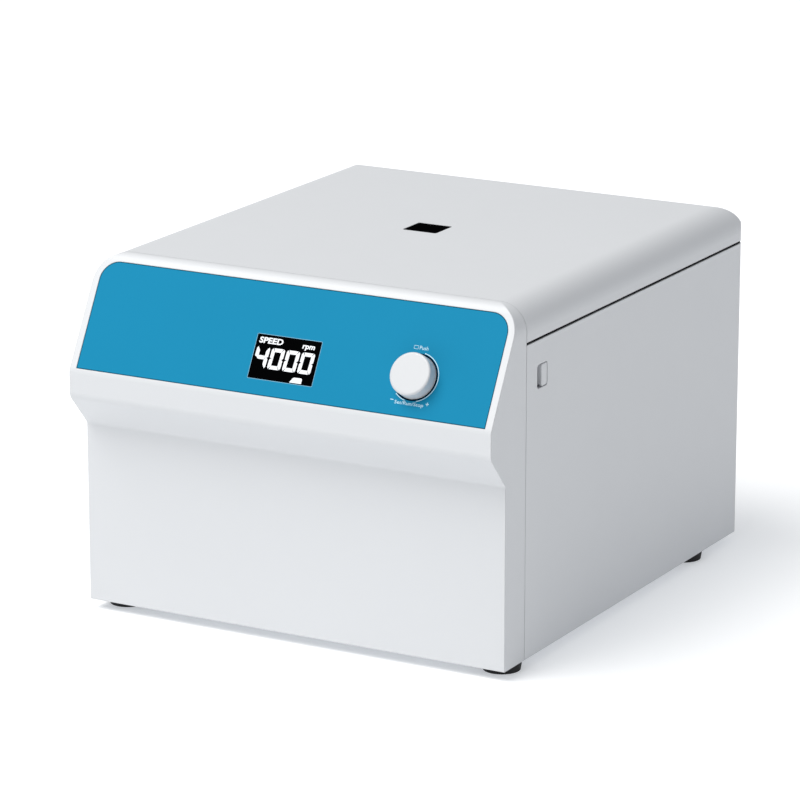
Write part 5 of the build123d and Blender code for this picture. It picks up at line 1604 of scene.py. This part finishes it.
@dataclass
class Display(Assembly):
    """Speed display: black face, lit figures and words, and the clear window's frame."""

    width: float = 42.6
    height: float = 26.5
    rise: float = 22.7
    corner: float = 0.5
    edge: float = 0.3
    edge_lift: float = 0.025
    face_low: float = -0.03
    face_high: float = 0.02
    lit_high: float = 0.05
    reading: str = "4000"
    digit_height: float = 12.6
    digit_width: float = 8.7
    digit_pitch: float = 9.95
    first_left: float = -20.2
    digit_foot: float = 16.0
    stroke: float = 2.25
    gap: float = 0.06
    end_cut: float = 0.55
    end_nick: float = 0.3
    gap_snug: float = 0.4
    gap_loose: float = 0.6
    waist_in: float = 0.8
    waist_step: float = 0.6
    lean: float = 0.045
    words: tuple[Label, ...] = (
        Label("display_word_speed", "SPEED", 15.8, 3.7, -11.5, 32.55, 0.03, weight=0.035, slant=0.06),
        Label("display_word_rpm", "rpm", 8.2, 3.3, 13.4, 31.3, 0.03, weight=0.035, slant=0.08),
    )
    lid_mark: tuple[Point2, ...] = (
        (6.3, 10.0), (14.2, 10.0), (14.2, 12.6), (13.6, 13.3), (8.8, 13.2), (8.0, 12.7))
    lid_mark_bevel: float = 0.01

    def build(self) -> None:
        """Builds the frame's line, the face, the figures, the words and the lid mark."""
        self.place = panel_place()
        centre = (0, self.rise)
        line = bmesh.new()
        outer = rounded_box(self.width + 2 * self.edge, self.height + 2 * self.edge, self.corner + self.edge,
                            centre=centre)
        inner = rounded_box(self.width, self.height, self.corner, centre=centre)
        add_ring(line, self.place, outer, inner, self.edge_lift)
        self.keep(mesh_from("display_frame_line", line), "case", PRINT_PALE, slot="display")
        face = bmesh.new()
        add_prism(face, self.place, inner, self.face_low, self.face_high)
        self.keep(mesh_from("display_face", face), "case", DISPLAY_BLACK, slot="display")
        for index, figure in enumerate(self.reading):
            self._digit(f"display_figure_{index + 1}", figure, self.first_left + index * self.digit_pitch)
        for label in self.words:
            self.keep(label.build(self.place), "case", DISPLAY_LIT, slot="display")
        mark = bmesh.new()
        add_prism(mark, self.place, self.lid_mark, self.face_high, self.lit_high, self.lid_mark_bevel,
                  segments=1)
        self.keep(mesh_from("display_lid_mark", mark), "case", DISPLAY_LIT, slot="display")

    def _bars(self) -> dict[str, list[Point2]]:
        """Outlines of a figure's bars, from its lower left corner.

        Returns:
            The outlines by the bar's letter: a top, b and c right, d foot, e and f left, g middle.
        """
        wide, high, bar, gap = self.digit_width, self.digit_height, self.stroke, self.gap
        half, mid = bar / 2, high / 2
        cut, nick = bar * self.end_cut, bar * self.end_nick
        snug, loose = bar + gap * self.gap_snug, bar + gap * self.gap_loose
        inset, step = half * self.waist_in, half * self.waist_step
        bars = {
            "a": [(cut + gap, high), (wide - cut - gap, high), (wide - snug, high - bar), (snug, high - bar)],
            "d": [(snug, bar), (wide - snug, bar), (wide - cut - gap, 0), (cut + gap, 0)],
            "g": [(half + gap, mid), (loose, mid + half), (wide - loose, mid + half),
                  (wide - half - gap, mid), (wide - loose, mid - half), (loose, mid - half)],
            "f": [(0.0, high - cut), (nick, high - gap), (bar, high - loose), (bar, mid + gap),
                  (inset, mid + gap), (0.0, mid + step)],
            "e": [(0.0, cut), (nick, gap), (bar, loose), (bar, mid - gap),
                  (inset, mid - gap), (0.0, mid - step)],
        }
        bars["b"], bars["c"] = ([(wide - x, y) for x, y in reversed(bars[left])] for left in "fe")
        return bars

    def _digit(self, name: str, figure: str, left: float) -> None:
        """Builds one figure from its bars.

        Args:
            name: the piece's name.
            figure: which figure.
            left: its left side, in millimetres from the panel's middle.
        """
        bars = self._bars()
        shape = bmesh.new()
        for lit in {"0": "abcdef", "4": "bcfg"}[figure]:
            points = [(left + x + self.lean * y, self.digit_foot + y) for x, y in bars[lit]]
            if self._area(points) < 0:
                points.reverse()
            add_prism(shape, self.place, points, self.face_high, self.lit_high)
        self.keep(mesh_from(name, shape), "case", DISPLAY_LIT, slot="display")

    @staticmethod
    def _area(points: list[Point2]) -> float:
        """Signed area of an outline, positive when it runs anticlockwise."""
        return sum(a[0] * b[1] - b[0] * a[1] for a, b in zip(points, points[1:] + points[:1])) / 2


@dataclass
class Controls(Assembly):
    """Knob with its well lined in painted shade, its printed ring, the words round it and the board behind it.
    """

    x: float = 85.2
    rise: float = 23.6
    ring: float = 14.4
    line: float = 0.44
    arcs: tuple[Span, ...] = ((-74, 80.5), (-132, -103))
    ink: float = 0.02
    push_middle: Point2 = (-3.95, 17.2)
    push_outer: Triple = (2.9, 2.1, 0.45)
    push_inner: Triple = (2.5, 1.7, 0.3)
    words: tuple[Label, ...] = (
        Label("word_push", "Push", 5.5, 2.2, 1.1, 17.2, 0.01),
        Label("words_set_run_stop", "Set/Run/Stop", 18.5, 2.7, -0.1, -15.9, 0.01),
    )
    sign_rise: float = -14.5
    minus_x: float = -11.3
    plus_x: float = 11.4
    sign_length: float = 2.0
    sign_line: float = 0.38
    well: float = 13.8
    well_depth: float = 1.6
    well_gap: float = 0.02
    well_steps: int = 96
    lining: float = 0.15
    lining_foot: float = 0.2
    rim_out: float = 0.16
    rim_in: float = 0.05
    rim_lift: float = 0.012
    hub_clearance: float = 6.0
    board_x: float = 68.8
    board_rise: float = 0.0
    board_back: float = 0.0
    board_parts: tuple[BoardPart, ...] = ()

    def build(self) -> None:
        """Builds the printed arcs, marks and words, lines the well with painted shade and fits the board's
        components.
        """
        place = panel_place()
        centre = place.moved(self.x, self.rise)
        arcs = bmesh.new()
        for start, end in self.arcs:
            add_prism(arcs, centre, arc_band(self.ring, self.line, start, end), -self.ink, self.ink)
        self.keep(mesh_from("knob_print_arcs", arcs), "case", PRINT_WHITE, slot="panel")
        mark = bmesh.new()
        outer, inner = (rounded_box(*size, centre=self.push_middle)
                        for size in (self.push_outer, self.push_inner))
        add_ring(mark, centre, outer, inner, self.ink)
        self.keep(mesh_from("push_mark", mark), "case", PRINT_WHITE, slot="panel")
        for label in self.words:
            self.keep(label.build(centre), "case", PRINT_WHITE, slot="panel")
        signs = bmesh.new()
        self._bar(signs, centre, self.minus_x, self.sign_length, self.sign_line)
        self._bar(signs, centre, self.plus_x, self.sign_length, self.sign_line)
        self._bar(signs, centre, self.plus_x, self.sign_line, self.sign_length)
        self.keep(mesh_from("turn_signs", signs), "case", PRINT_WHITE, slot="panel")
        self._well(centre)
        self._components(place)

    def _well(self, centre: Place) -> None:
        """Lines the knob's well with a dark sheet and lays a dark line round its rim, both painted shade of the
        gap round the knob.

        Args:
            centre: the knob's place on the slope.
        """
        # Painted shade: this dark lining stands in for the shade in the gap round the knob.
        lining = bmesh.new()
        wall, floor, top = self.well - self.well_gap, -self.well_depth, -self.well_gap
        add_lathe(lining, centre, [(self.hub_clearance, floor), (wall, floor), (wall, top),
                                 (wall - self.lining, top), (wall - self.lining_foot, floor + self.lining),
                                 (self.hub_clearance, floor + self.lining)], self.well_steps)
        self.keep(mesh_from("knob_well_shade_lining", lining), "case", WELL_SHADE_LINING, slot="rubber")
        # Painted shade: this dark line at the well's rim stands in for the gap's shade.
        rim = bmesh.new()
        outer = circle(wall + self.rim_out, self.well_steps)
        inner = circle(wall - self.rim_in, self.well_steps)
        add_ring(rim, centre, outer, inner, self.rim_lift)
        self.keep(mesh_from("knob_well_shade_line", rim), "case", RIM_SHADE_DARK, slot="panel")

    def _components(self, place: Place) -> None:
        """Fits the control board's back with its chips, plug and disc.

        Args:
            place: the panel's place.
        """
        back = Place(place.at(self.board_x, self.board_rise, -self.board_back), -place.right, place.up)
        for part in self.board_parts:
            self.keep(part.build(back), "case", part.kind.finish, slot=part.kind.slot)

    def _bar(self, shape: Shape, place: Place, x: float, wide: float, high: float) -> None:
        """Adds a printed bar at the signs' height.

        Args:
            shape: bmesh it goes into.
            place: the knob's place.
            x: its middle, in millimetres across.
            wide: its width in millimetres.
            high: its height in millimetres.
        """
        outline = [(x + side * wide / 2, self.sign_rise + rise * high / 2) for side, rise in SQUARE]
        add_prism(shape, place, outline, -self.ink, self.ink)


@dataclass
class Case(Assembly):
    """Case mouldings and tray, with a painted shade line round the film's edge."""

    corner: float = 12.0
    corner_steps: int = 10
    line: float = 0.42
    lift: float = 0.015

    def build(self) -> None:
        """Builds the painted shade line round the film's edge."""
        place = panel_place()
        low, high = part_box("panel_overlay")
        half = (high.x - low.x) / 2 / MM
        length = (high.z - place.origin.z) / cos(radians(SLOPE)) / MM
        # Painted shade: a dark line round the film's edge, where the gap's shade falls.
        shape = bmesh.new()
        outer, inner = (self._outline(half, length, inset) for inset in (0.0, self.line))
        add_ring(shape, place, outer, inner, self.lift)
        self.keep(mesh_from("film_border_shade_line", shape), "case", FILM_BORDER_SHADE, slot="panel")

    def _outline(self, half: float, length: float, inset: float) -> list[Point2]:
        """Outline of the film, drawn in by a distance.

        Args:
            half: half of the film's width in millimetres.
            length: its length up the slope.
            inset: how far inside its edge.

        Returns:
            Points, anticlockwise.
        """
        points = [(-half + inset, inset), (half - inset, inset)]
        radius = self.corner - inset
        for side, first in ((1, 0.0), (-1, pi / 2)):
            mid = (side * (half - self.corner), length - self.corner)
            angles = [first + pi / 2 * step / self.corner_steps for step in range(self.corner_steps + 1)]
            points += [(mid[0] + radius * cos(angle), mid[1] + radius * sin(angle)) for angle in angles]
        return points


@dataclass
class Rotor(Assembly):
    """Chamber and fixed-angle rotor, with a bright rim and a number at each tube pocket.

    Each point of the rim's profile is a distance outside the pocket's wall and a lift off the cone.
    """

    pocket_radius: float = 8.8
    pocket_half: float = 37.5
    rim_profile: tuple[Span, ...] = ((-0.02, -0.3), (0.05, 0.05), (0.9, 0.06), (1.0, -0.05))
    rim_steps: int = 48
    rim_passes: int = 8
    number_radius: float = 36.0
    number_height: float = 6.0
    number_lift: float = 0.03
    number_weight: float = 0.02

    def build(self) -> None:
        """Builds the pockets' numbers and rims."""
        rims = bmesh.new()
        for mount in frame["record"]["mounts"]:
            if not mount["name"].startswith("tube_pocket_"):
                continue
            out = Vector(mount["axis"]).normalized()
            mouth = Vector(mount["pos_m"]) + out * self.pocket_half * MM
            inward = Vector((out.x, out.y, 0)).normalized()
            right = Vector((inward.y, -inward.x, 0))
            place = Place(mouth, right, out.cross(right))
            self._rim(rims, place, inward)
            figure = mount["name"][-1]
            slope = (place.up - place.up.project(UP)).length
            down = (mouth_reach(mouth, inward) / MM - self.number_radius) / slope
            label = Label(f"rotor_number_{figure}", figure, None, self.number_height, 0, down,
                          self.number_lift, weight=self.number_weight)
            self.keep(label.build(place), "rotor", ROTOR_PRINT, slot="rotor")
        self.keep(mesh_from("pocket_rims", rims), "rotor", self.finishes["rotor_nut"], slot="rotor")

    def _rim(self, shape: Shape, place: Place, inward: Vector) -> None:
        """Adds the bright edge where a pocket meets the rotor's cone.

        Args:
            shape: bmesh it goes into.
            place: the pocket's mouth.
            inward: level direction from the mouth to the rotor's axis.
        """
        reach = mouth_reach(place.origin, inward)
        axis = place.origin + inward * reach
        steep = abs(place.up.z / (place.up - Vector((0, 0, place.up.z))).length)
        loops = []
        for outside, lift in self.rim_profile:
            loop = []
            for x, y in circle(self.pocket_radius + outside, self.rim_steps):
                height = 0.0
                for _ in range(self.rim_passes):
                    point = place.at(x, y, height)
                    far = Vector((point.x - axis.x, point.y - axis.y)).length
                    cone = place.origin.z + (far - reach) * steep
                    height += (cone - point.z) * place.out.z / MM
                loop.append(shape.verts.new(place.at(x, y, height + lift)))
            loops.append(loop)
        for first, second in zip(loops, loops[1:]):
            add_band(shape, first, second)


def mouth_reach(mouth: Vector, inward: Vector) -> float:
    """Distance from a pocket's mouth to the rotor's axis.

    Args:
        mouth: the middle of the mouth.
        inward: level direction from the mouth to the axis.

    Returns:
        The distance in metres.
    """
    return (over_middle("chamber_bowl", mouth.z) - mouth).dot(inward)


@dataclass
class BackPanel(Assembly):
    """Power inlet, fuse and rocker switch in the back, with the rocker's on and off marks."""

    face: float = 3.6
    dip: float = 2.6
    half: float = 7.2
    tilt: float = 8.0
    ink: float = 0.03
    on_mark: Triple = (0.7, 3.4, 0.3)
    off_inner: float = 1.2
    off_outer: float = 1.75
    fuse_cap: float = 5.2
    tube_gap: float = 0.15
    tube_bore: float = 0.7
    cap_share: float = 0.8
    cap_round: float = 0.4
    cap_dish: float = 0.1
    cap_mouth: Span = (0.5, 0.2)
    wire: float = 0.16
    wire_waist: float = 0.12

    def build(self) -> None:
        """Builds the marks on the rocker and the fuse's tube and caps."""
        joint = next(j for j in frame["record"]["behaviour"]["joints"] if j["name"] == "rocker_tilt")
        pivot, lean = Vector(joint["pos_m"]), radians(self.tilt)
        outward = Vector((0, cos(lean), sin(lean)))
        upward = Vector((0, -sin(lean), cos(lean)))
        for name, side in (("rocker_mark_on", 1), ("rocker_mark_off", -1)):
            along = (outward * (self.face - self.dip) + upward * side * self.half).normalized()
            origin = pivot + (outward * (self.face + self.dip) / 2 + upward * side * self.half / 2) * MM
            place = Place(origin, -RIGHT, along * side)
            shape = bmesh.new()
            if side > 0:
                add_prism(shape, place, rounded_box(*self.on_mark), -self.ink, self.ink)
            else:
                inner, outer = self.off_inner, self.off_outer
                add_lathe(shape, place, [(inner, -self.ink), (outer, -self.ink), (outer, self.ink),
                                         (inner, self.ink)], steps=40)
            self.keep(mesh_from(name, shape), "rocker", SWITCH_PRINT, slot="dark_plastic")
        self._fuse()

    def _fuse(self) -> None:
        """Builds the glass tube, its wire and its two caps in the plain fuse's room."""
        low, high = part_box("fuse")
        radius, half = (high.z - low.z) / 2 / MM, (high.x - low.x) / 2 / MM
        place = Place((low + high) / 2, BACK, UP)
        inner = half - self.fuse_cap
        bore, wall = radius - self.tube_bore, radius - self.tube_gap
        tube = bmesh.new()
        add_lathe(tube, place, [(bore, -inner), (wall, -inner), (wall, inner), (bore, inner)], steps=32)
        self.keep(mesh_from("fuse_tube", tube), "fuse_drawer", FUSE_GLASS, slot="fuse_glass",
                  replaces=("fuse",))
        caps = bmesh.new()
        lip, depth = self.cap_mouth
        cap = [(0, half - self.cap_dish), (radius * self.cap_share, half), (radius, half - self.cap_round),
               (radius, inner), (radius - lip, inner - depth), (0, inner)]
        for side in (-1, 1):
            add_lathe(caps, place, [(reach, side * along) for reach, along in cap], steps=32)
        add_lathe(caps, place, [(0, -inner), (self.wire, -inner), (self.wire_waist, 0), (self.wire, inner),
                                (0, inner)], steps=10)
        self.keep(mesh_from("fuse_caps", caps), "fuse_drawer", ZINC_SCREW, slot="zinc_screws")


@dataclass
class PowerBoard(Assembly):
    """Power board with its transformer, capacitors and small components."""

    core_depth: float = 20.0
    core_corner: float = 0.4
    coil_width: float = 26.0
    coil_corner: float = 4.0
    coil_bevel: float = 2.5
    coil_end: float = 1.5
    flange: float = 1.4
    flange_over: float = 4.0
    flange_corner: float = 0.3
    sleeve: float = 9.0
    sleeve_lip: float = 1.4
    can_bevel: float = 0.3
    can_groove: float = 0.02
    can_rise: float = 0.14
    can_foot: float = 0.1
    stripe_lift: float = 0.01
    stripe: float = 0.06
    stripe_angles: Span = (-104, -76)
    stripe_end: float = 2.5
    parts: tuple[BoardPart, ...] = (
        BoardPart("power_terminal", PartKind.TERMINAL, 0, -43, 20, 7, 10),
        BoardPart("motor_relay", PartKind.RELAY, -12, -11, 19, 10, 14),
        BoardPart("bleed_resistor", PartKind.RESISTOR, 12, -8.5, 11, 4, 4),
        BoardPart("sense_resistor", PartKind.RESISTOR, 12, -14, 11, 4, 4),
        BoardPart("line_disc", PartKind.DISC, 25, 8, 8, 3, 9),
        BoardPart("neutral_disc", PartKind.DISC, 25, 20, 8, 3, 9),
        BoardPart("power_chip", PartKind.CHIP, -24.5, 16, 6.2, 10.2, 1.8),
    )

    def build(self) -> None:
        """Builds the small components, the transformer and the capacitors' ends."""
        _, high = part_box("power_board")
        board = level_place(over_middle("power_board", high.z))
        for part in self.parts:
            self.keep(part.build(board), "case", part.kind.finish, slot=part.kind.slot)
        self._transformer()
        self._capacitors()

    def _transformer(self) -> None:
        """Builds the stacked core, the taped coil and its two flanges in the plain block's room."""
        low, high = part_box("transformer")
        spot = level_place(over_middle("transformer", low.z))
        wide, long, tall = (high - low) / MM
        core = bmesh.new()
        stack = rounded_box(wide, self.core_depth, self.core_corner, steps=2)
        add_prism(core, spot, stack, 0, tall, self.core_corner)
        self.keep(mesh_from("transformer_core", core), "case", TRANSFORMER_PLATES, slot="core",
                  replaces=("transformer",))
        coil = bmesh.new()
        wound = rounded_box(self.coil_width, long - 2 * self.flange, self.coil_corner, steps=6)
        add_prism(coil, spot, wound, self.coil_end, tall - self.coil_end, self.coil_bevel, segments=4)
        self.keep(mesh_from("transformer_coil", coil), "case", TRANSFORMER_TAPE, slot="transformer")
        flanges = bmesh.new()
        for side in (-1, 1):
            plate = rounded_box(self.coil_width + self.flange_over, self.flange, self.flange_corner,
                                steps=2, centre=(0, side * (long - self.flange) / 2))
            add_prism(flanges, spot, plate, 0, tall, self.flange_corner)
        self.keep(mesh_from("transformer_flanges", flanges), "case", NYLON, slot="liner")

    def _capacitors(self) -> None:
        """Adds the bare ends and the polarity stripes to the capacitors."""
        tops, stripes = bmesh.new(), bmesh.new()
        edge = self.sleeve - self.sleeve_lip
        for points in loose_parts("capacitors"):
            middle = [(min(p[axis] for p in points) + max(p[axis] for p in points)) / 2 for axis in range(2)]
            foot, head = min(p.z for p in points), max(p.z for p in points)
            spot = level_place(Vector((*middle, foot)))
            tall = (head - foot) / MM
            groove, rise, base = tall + self.can_groove, tall + self.can_rise, tall - self.can_foot
            add_lathe(tops, spot, [(0, groove), (edge - 2 * self.can_bevel, groove),
                                   (edge - self.can_bevel, rise), (edge, rise), (edge, base),
                                   (0, base)], steps=48)
            band = arc_band(self.sleeve + self.stripe_lift, self.stripe, *self.stripe_angles, steps=10)
            add_prism(stripes, spot, band, self.stripe_end, tall - self.stripe_end)
        self.keep(mesh_from("capacitor_tops", tops), "case", CAN_TOP, slot="capacitor")
        self.keep(mesh_from("capacitor_stripes", stripes), "case", PRINT_WHITE, slot="capacitor")


@dataclass
class Studio:
    """Ground, light and camera."""

    effects: Effects
    ground_half: float = 12.0
    sky: Colour = (0.972, 0.995, 1.035)
    sky_strength: float = 0.41
    lamp_spot: Triple = (-1.6, -2.05, 4.2)
    lamp_aim: Triple = (0.0, 0.0, 0.1)
    lamp_size: float = 3.8
    lamp_watts: float = 268.0
    lamp_colour: Colour = (1.0, 0.99, 0.965)
    azimuth: float = 29.069
    elevation: float = 15.3822
    focal_pixels: float = 4260.6
    picture: int = 800
    sensor: float = 36.0
    eye: Triple = (1.2032, -2.1874, 0.7982)
    near: float = 0.05
    far: float = 60.0

    def build(self) -> None:
        """Builds all three."""
        self._ground()
        self._light()
        self._camera()

    def _ground(self) -> None:
        """Lays the pale ground under the feet."""
        shape = bmesh.new()
        half = self.ground_half
        shape.faces.new([shape.verts.new((x * half, y * half, 0.0)) for x, y in SQUARE])
        ground = mesh_from("floor", shape, None)
        ground.data.materials.append(GROUND.material(self.effects))

    def _light(self) -> None:
        """Sets an even cool surround and hangs one large soft lamp over the machine."""
        scene = bpy.context.scene
        scene.view_settings.view_transform = "Standard"
        world = bpy.data.worlds.new("surround")
        scene.world = world
        world.use_nodes = True
        surround = world.node_tree.nodes["Background"]
        surround.inputs["Color"].default_value = (*self.sky, 1.0)
        surround.inputs["Strength"].default_value = self.sky_strength
        light = bpy.data.lights.new("key", "AREA")
        light.color = self.lamp_colour
        light.size = self.lamp_size
        light.energy = self.lamp_watts
        lamp = link("key", light)
        lamp.location = self.lamp_spot
        aim = Vector(self.lamp_aim) - Vector(self.lamp_spot)
        lamp.rotation_euler = aim.to_track_quat("-Z", "Y").to_euler()

    def _camera(self) -> None:
        """Stands the camera where the photograph was taken."""
        data = bpy.data.cameras.new("camera")
        data.sensor_width = self.sensor
        data.lens = self.focal_pixels / self.picture * self.sensor
        data.clip_start = self.near
        data.clip_end = self.far
        camera = link("camera", data)
        turn, tilt = radians(self.azimuth), radians(self.elevation)
        back = Vector((sin(turn) * cos(tilt), -cos(turn) * cos(tilt), sin(tilt)))
        right = Vector((cos(turn), sin(turn), 0.0))
        up = back.cross(right)
        camera.matrix_world = Matrix.Translation(self.eye) @ Matrix((right, up, back)).transposed().to_4x4()
        bpy.context.scene.camera = camera


def assemblies(effects: Effects) -> list[Assembly]:
    """The machine's sub-assemblies, in the order they are built.

    Args:
        effects: the shared node groups.

    Returns:
        The assemblies.
    """
    axis = tuple(over_middle("chamber_bowl", 0.0))
    spun = Metal("spun_steel", srgb(200, 203, 207), rough=0.24, centre=axis, ring_scale=900.0)
    turned = Metal("turned_rotor", srgb(176, 180, 186), rough=0.26, centre=axis, ring_scale=1400.0)
    bright = Metal("bright_rotor", srgb(206, 209, 213), rough=0.2, centre=axis, ring_scale=1800.0)
    down, up, back = (0.0, 0.0, -1.0), (0.0, 0.0, 1.0), (0.0, 1.0, 0.0)
    behind = (0.0, cos(radians(SLOPE)), -sin(radians(SLOPE)))
    case = Case(effects, {
        "front_cover": CASE_PLASTIC, "rear_housing": CASE_PLASTIC, "release_guide": GUIDE_PORT_SHADE,
        "release_plug": CASE_PLASTIC, "base_tray": ZINC_SHEET, "top_deck": DECK_PLASTIC,
        "rubber_feet": RUBBER, "foot_screws": ZINC_SCREW, "foot_nuts": ZINC_SCREW, "tray_screws": ZINC_SCREW,
    }, {"foot_screws": down, "tray_screws": down})
    lid = Assembly(effects, {
        "lid_shell": LID_PLASTIC, "lid_liner": LINER_PLASTIC, "lid_window": SMOKED_SHADE_GLASS,
        "lid_seal": GAP_SHADE_SEAL, "liner_screws": ZINC_SCREW, "striker": HINGE_STEEL,
        "striker_screws": ZINC_SCREW,
    }, {"liner_screws": down, "striker_screws": down})
    hinges = Assembly(effects, {
        "hinge_brackets": HINGE_STEEL, "hinge_pins": TURNED_STEEL, "hinge_screws": ZINC_SCREW,
        "hinge_nuts": ZINC_SCREW,
    }, {"hinge_screws": back})
    chamber = Rotor(effects, {
        "chamber_bowl": spun, "chamber_gasket": GASKET_RUBBER, "angle_rotor": turned, "rotor_nut": bright,
        "shaft_boot": RUBBER,
    })
    drive = Assembly(effects, {
        "support_posts": ZINC_SHEET, "post_screws": ZINC_SCREW, "vibration_mounts": RUBBER,
        "motor_plate": ZINC_SHEET, "motor_housing": MOTOR_PAINT, "motor_screws": ZINC_SCREW,
        "motor_bearings": TURNED_STEEL, "motor_stator": CORE_PLATES, "motor_armature": CORE_PLATES,
        "motor_shaft": TURNED_STEEL,
    }, {"post_screws": down, "motor_screws": up})
    lock = Assembly(effects, {
        "lock_bracket": ZINC_SHEET, "lock_solenoid": SOLENOID_TAPE, "lock_bolt": TURNED_STEEL,
        "bracket_screws": ZINC_SCREW, "lid_sensor": BLACK_PLASTIC,
    }, {"bracket_screws": down})
    display = Display(effects, {
        "panel_overlay": PANEL_FILM, "display_window": DISPLAY_GLASS, "display_module": BLACK_PLASTIC,
    })
    controls = Controls(effects, {
        "knob": KNOB_PLASTIC, "encoder_shaft": TURNED_STEEL, "encoder_body": BLACK_PLASTIC,
        "press_collar": NYLON, "control_board": BOARD, "board_screws": ZINC_SCREW,
    }, {"board_screws": behind}, board_rise=27.0, board_back=15.6, board_parts=(
        BoardPart("control_chip", PartKind.CHIP, 10, -2, 9, 12, 2.0),
        BoardPart("driver_chip", PartKind.CHIP, -8, 4, 6.2, 10.2, 1.8),
        BoardPart("panel_plug", PartKind.PLUG, 22, -12, 15, 6, 6.5),
        BoardPart("control_disc", PartKind.DISC, 27, 4, 5, 2.2, 6.5),
    ))
    rear = BackPanel(effects, {
        "power_inlet": BLACK_PLASTIC, "inlet_pins": BRASS, "inlet_screws": ZINC_SCREW,
        "fuse_drawer": DRAWER_PLASTIC, "fuse": FUSE_GLASS, "switch_frame": BLACK_PLASTIC,
        "switch_rocker": SWITCH_PLASTIC,
    }, {"inlet_screws": back})
    power = PowerBoard(effects, {
        "power_board": BOARD, "transformer": TRANSFORMER_TAPE, "capacitors": CAPACITOR_SLEEVE,
    })
    return [case, lid, hinges, chamber, drive, lock, display, controls, rear, power]


def main() -> None:
    """Builds the studio and every sub-assembly."""
    effects = Effects()
    Studio(effects).build()
    pattern = Screws()
    for assembly in assemblies(effects):
        assembly.dress()
        assembly.drive(pattern)
        assembly.build()


if __name__ == "__main__":
    main()
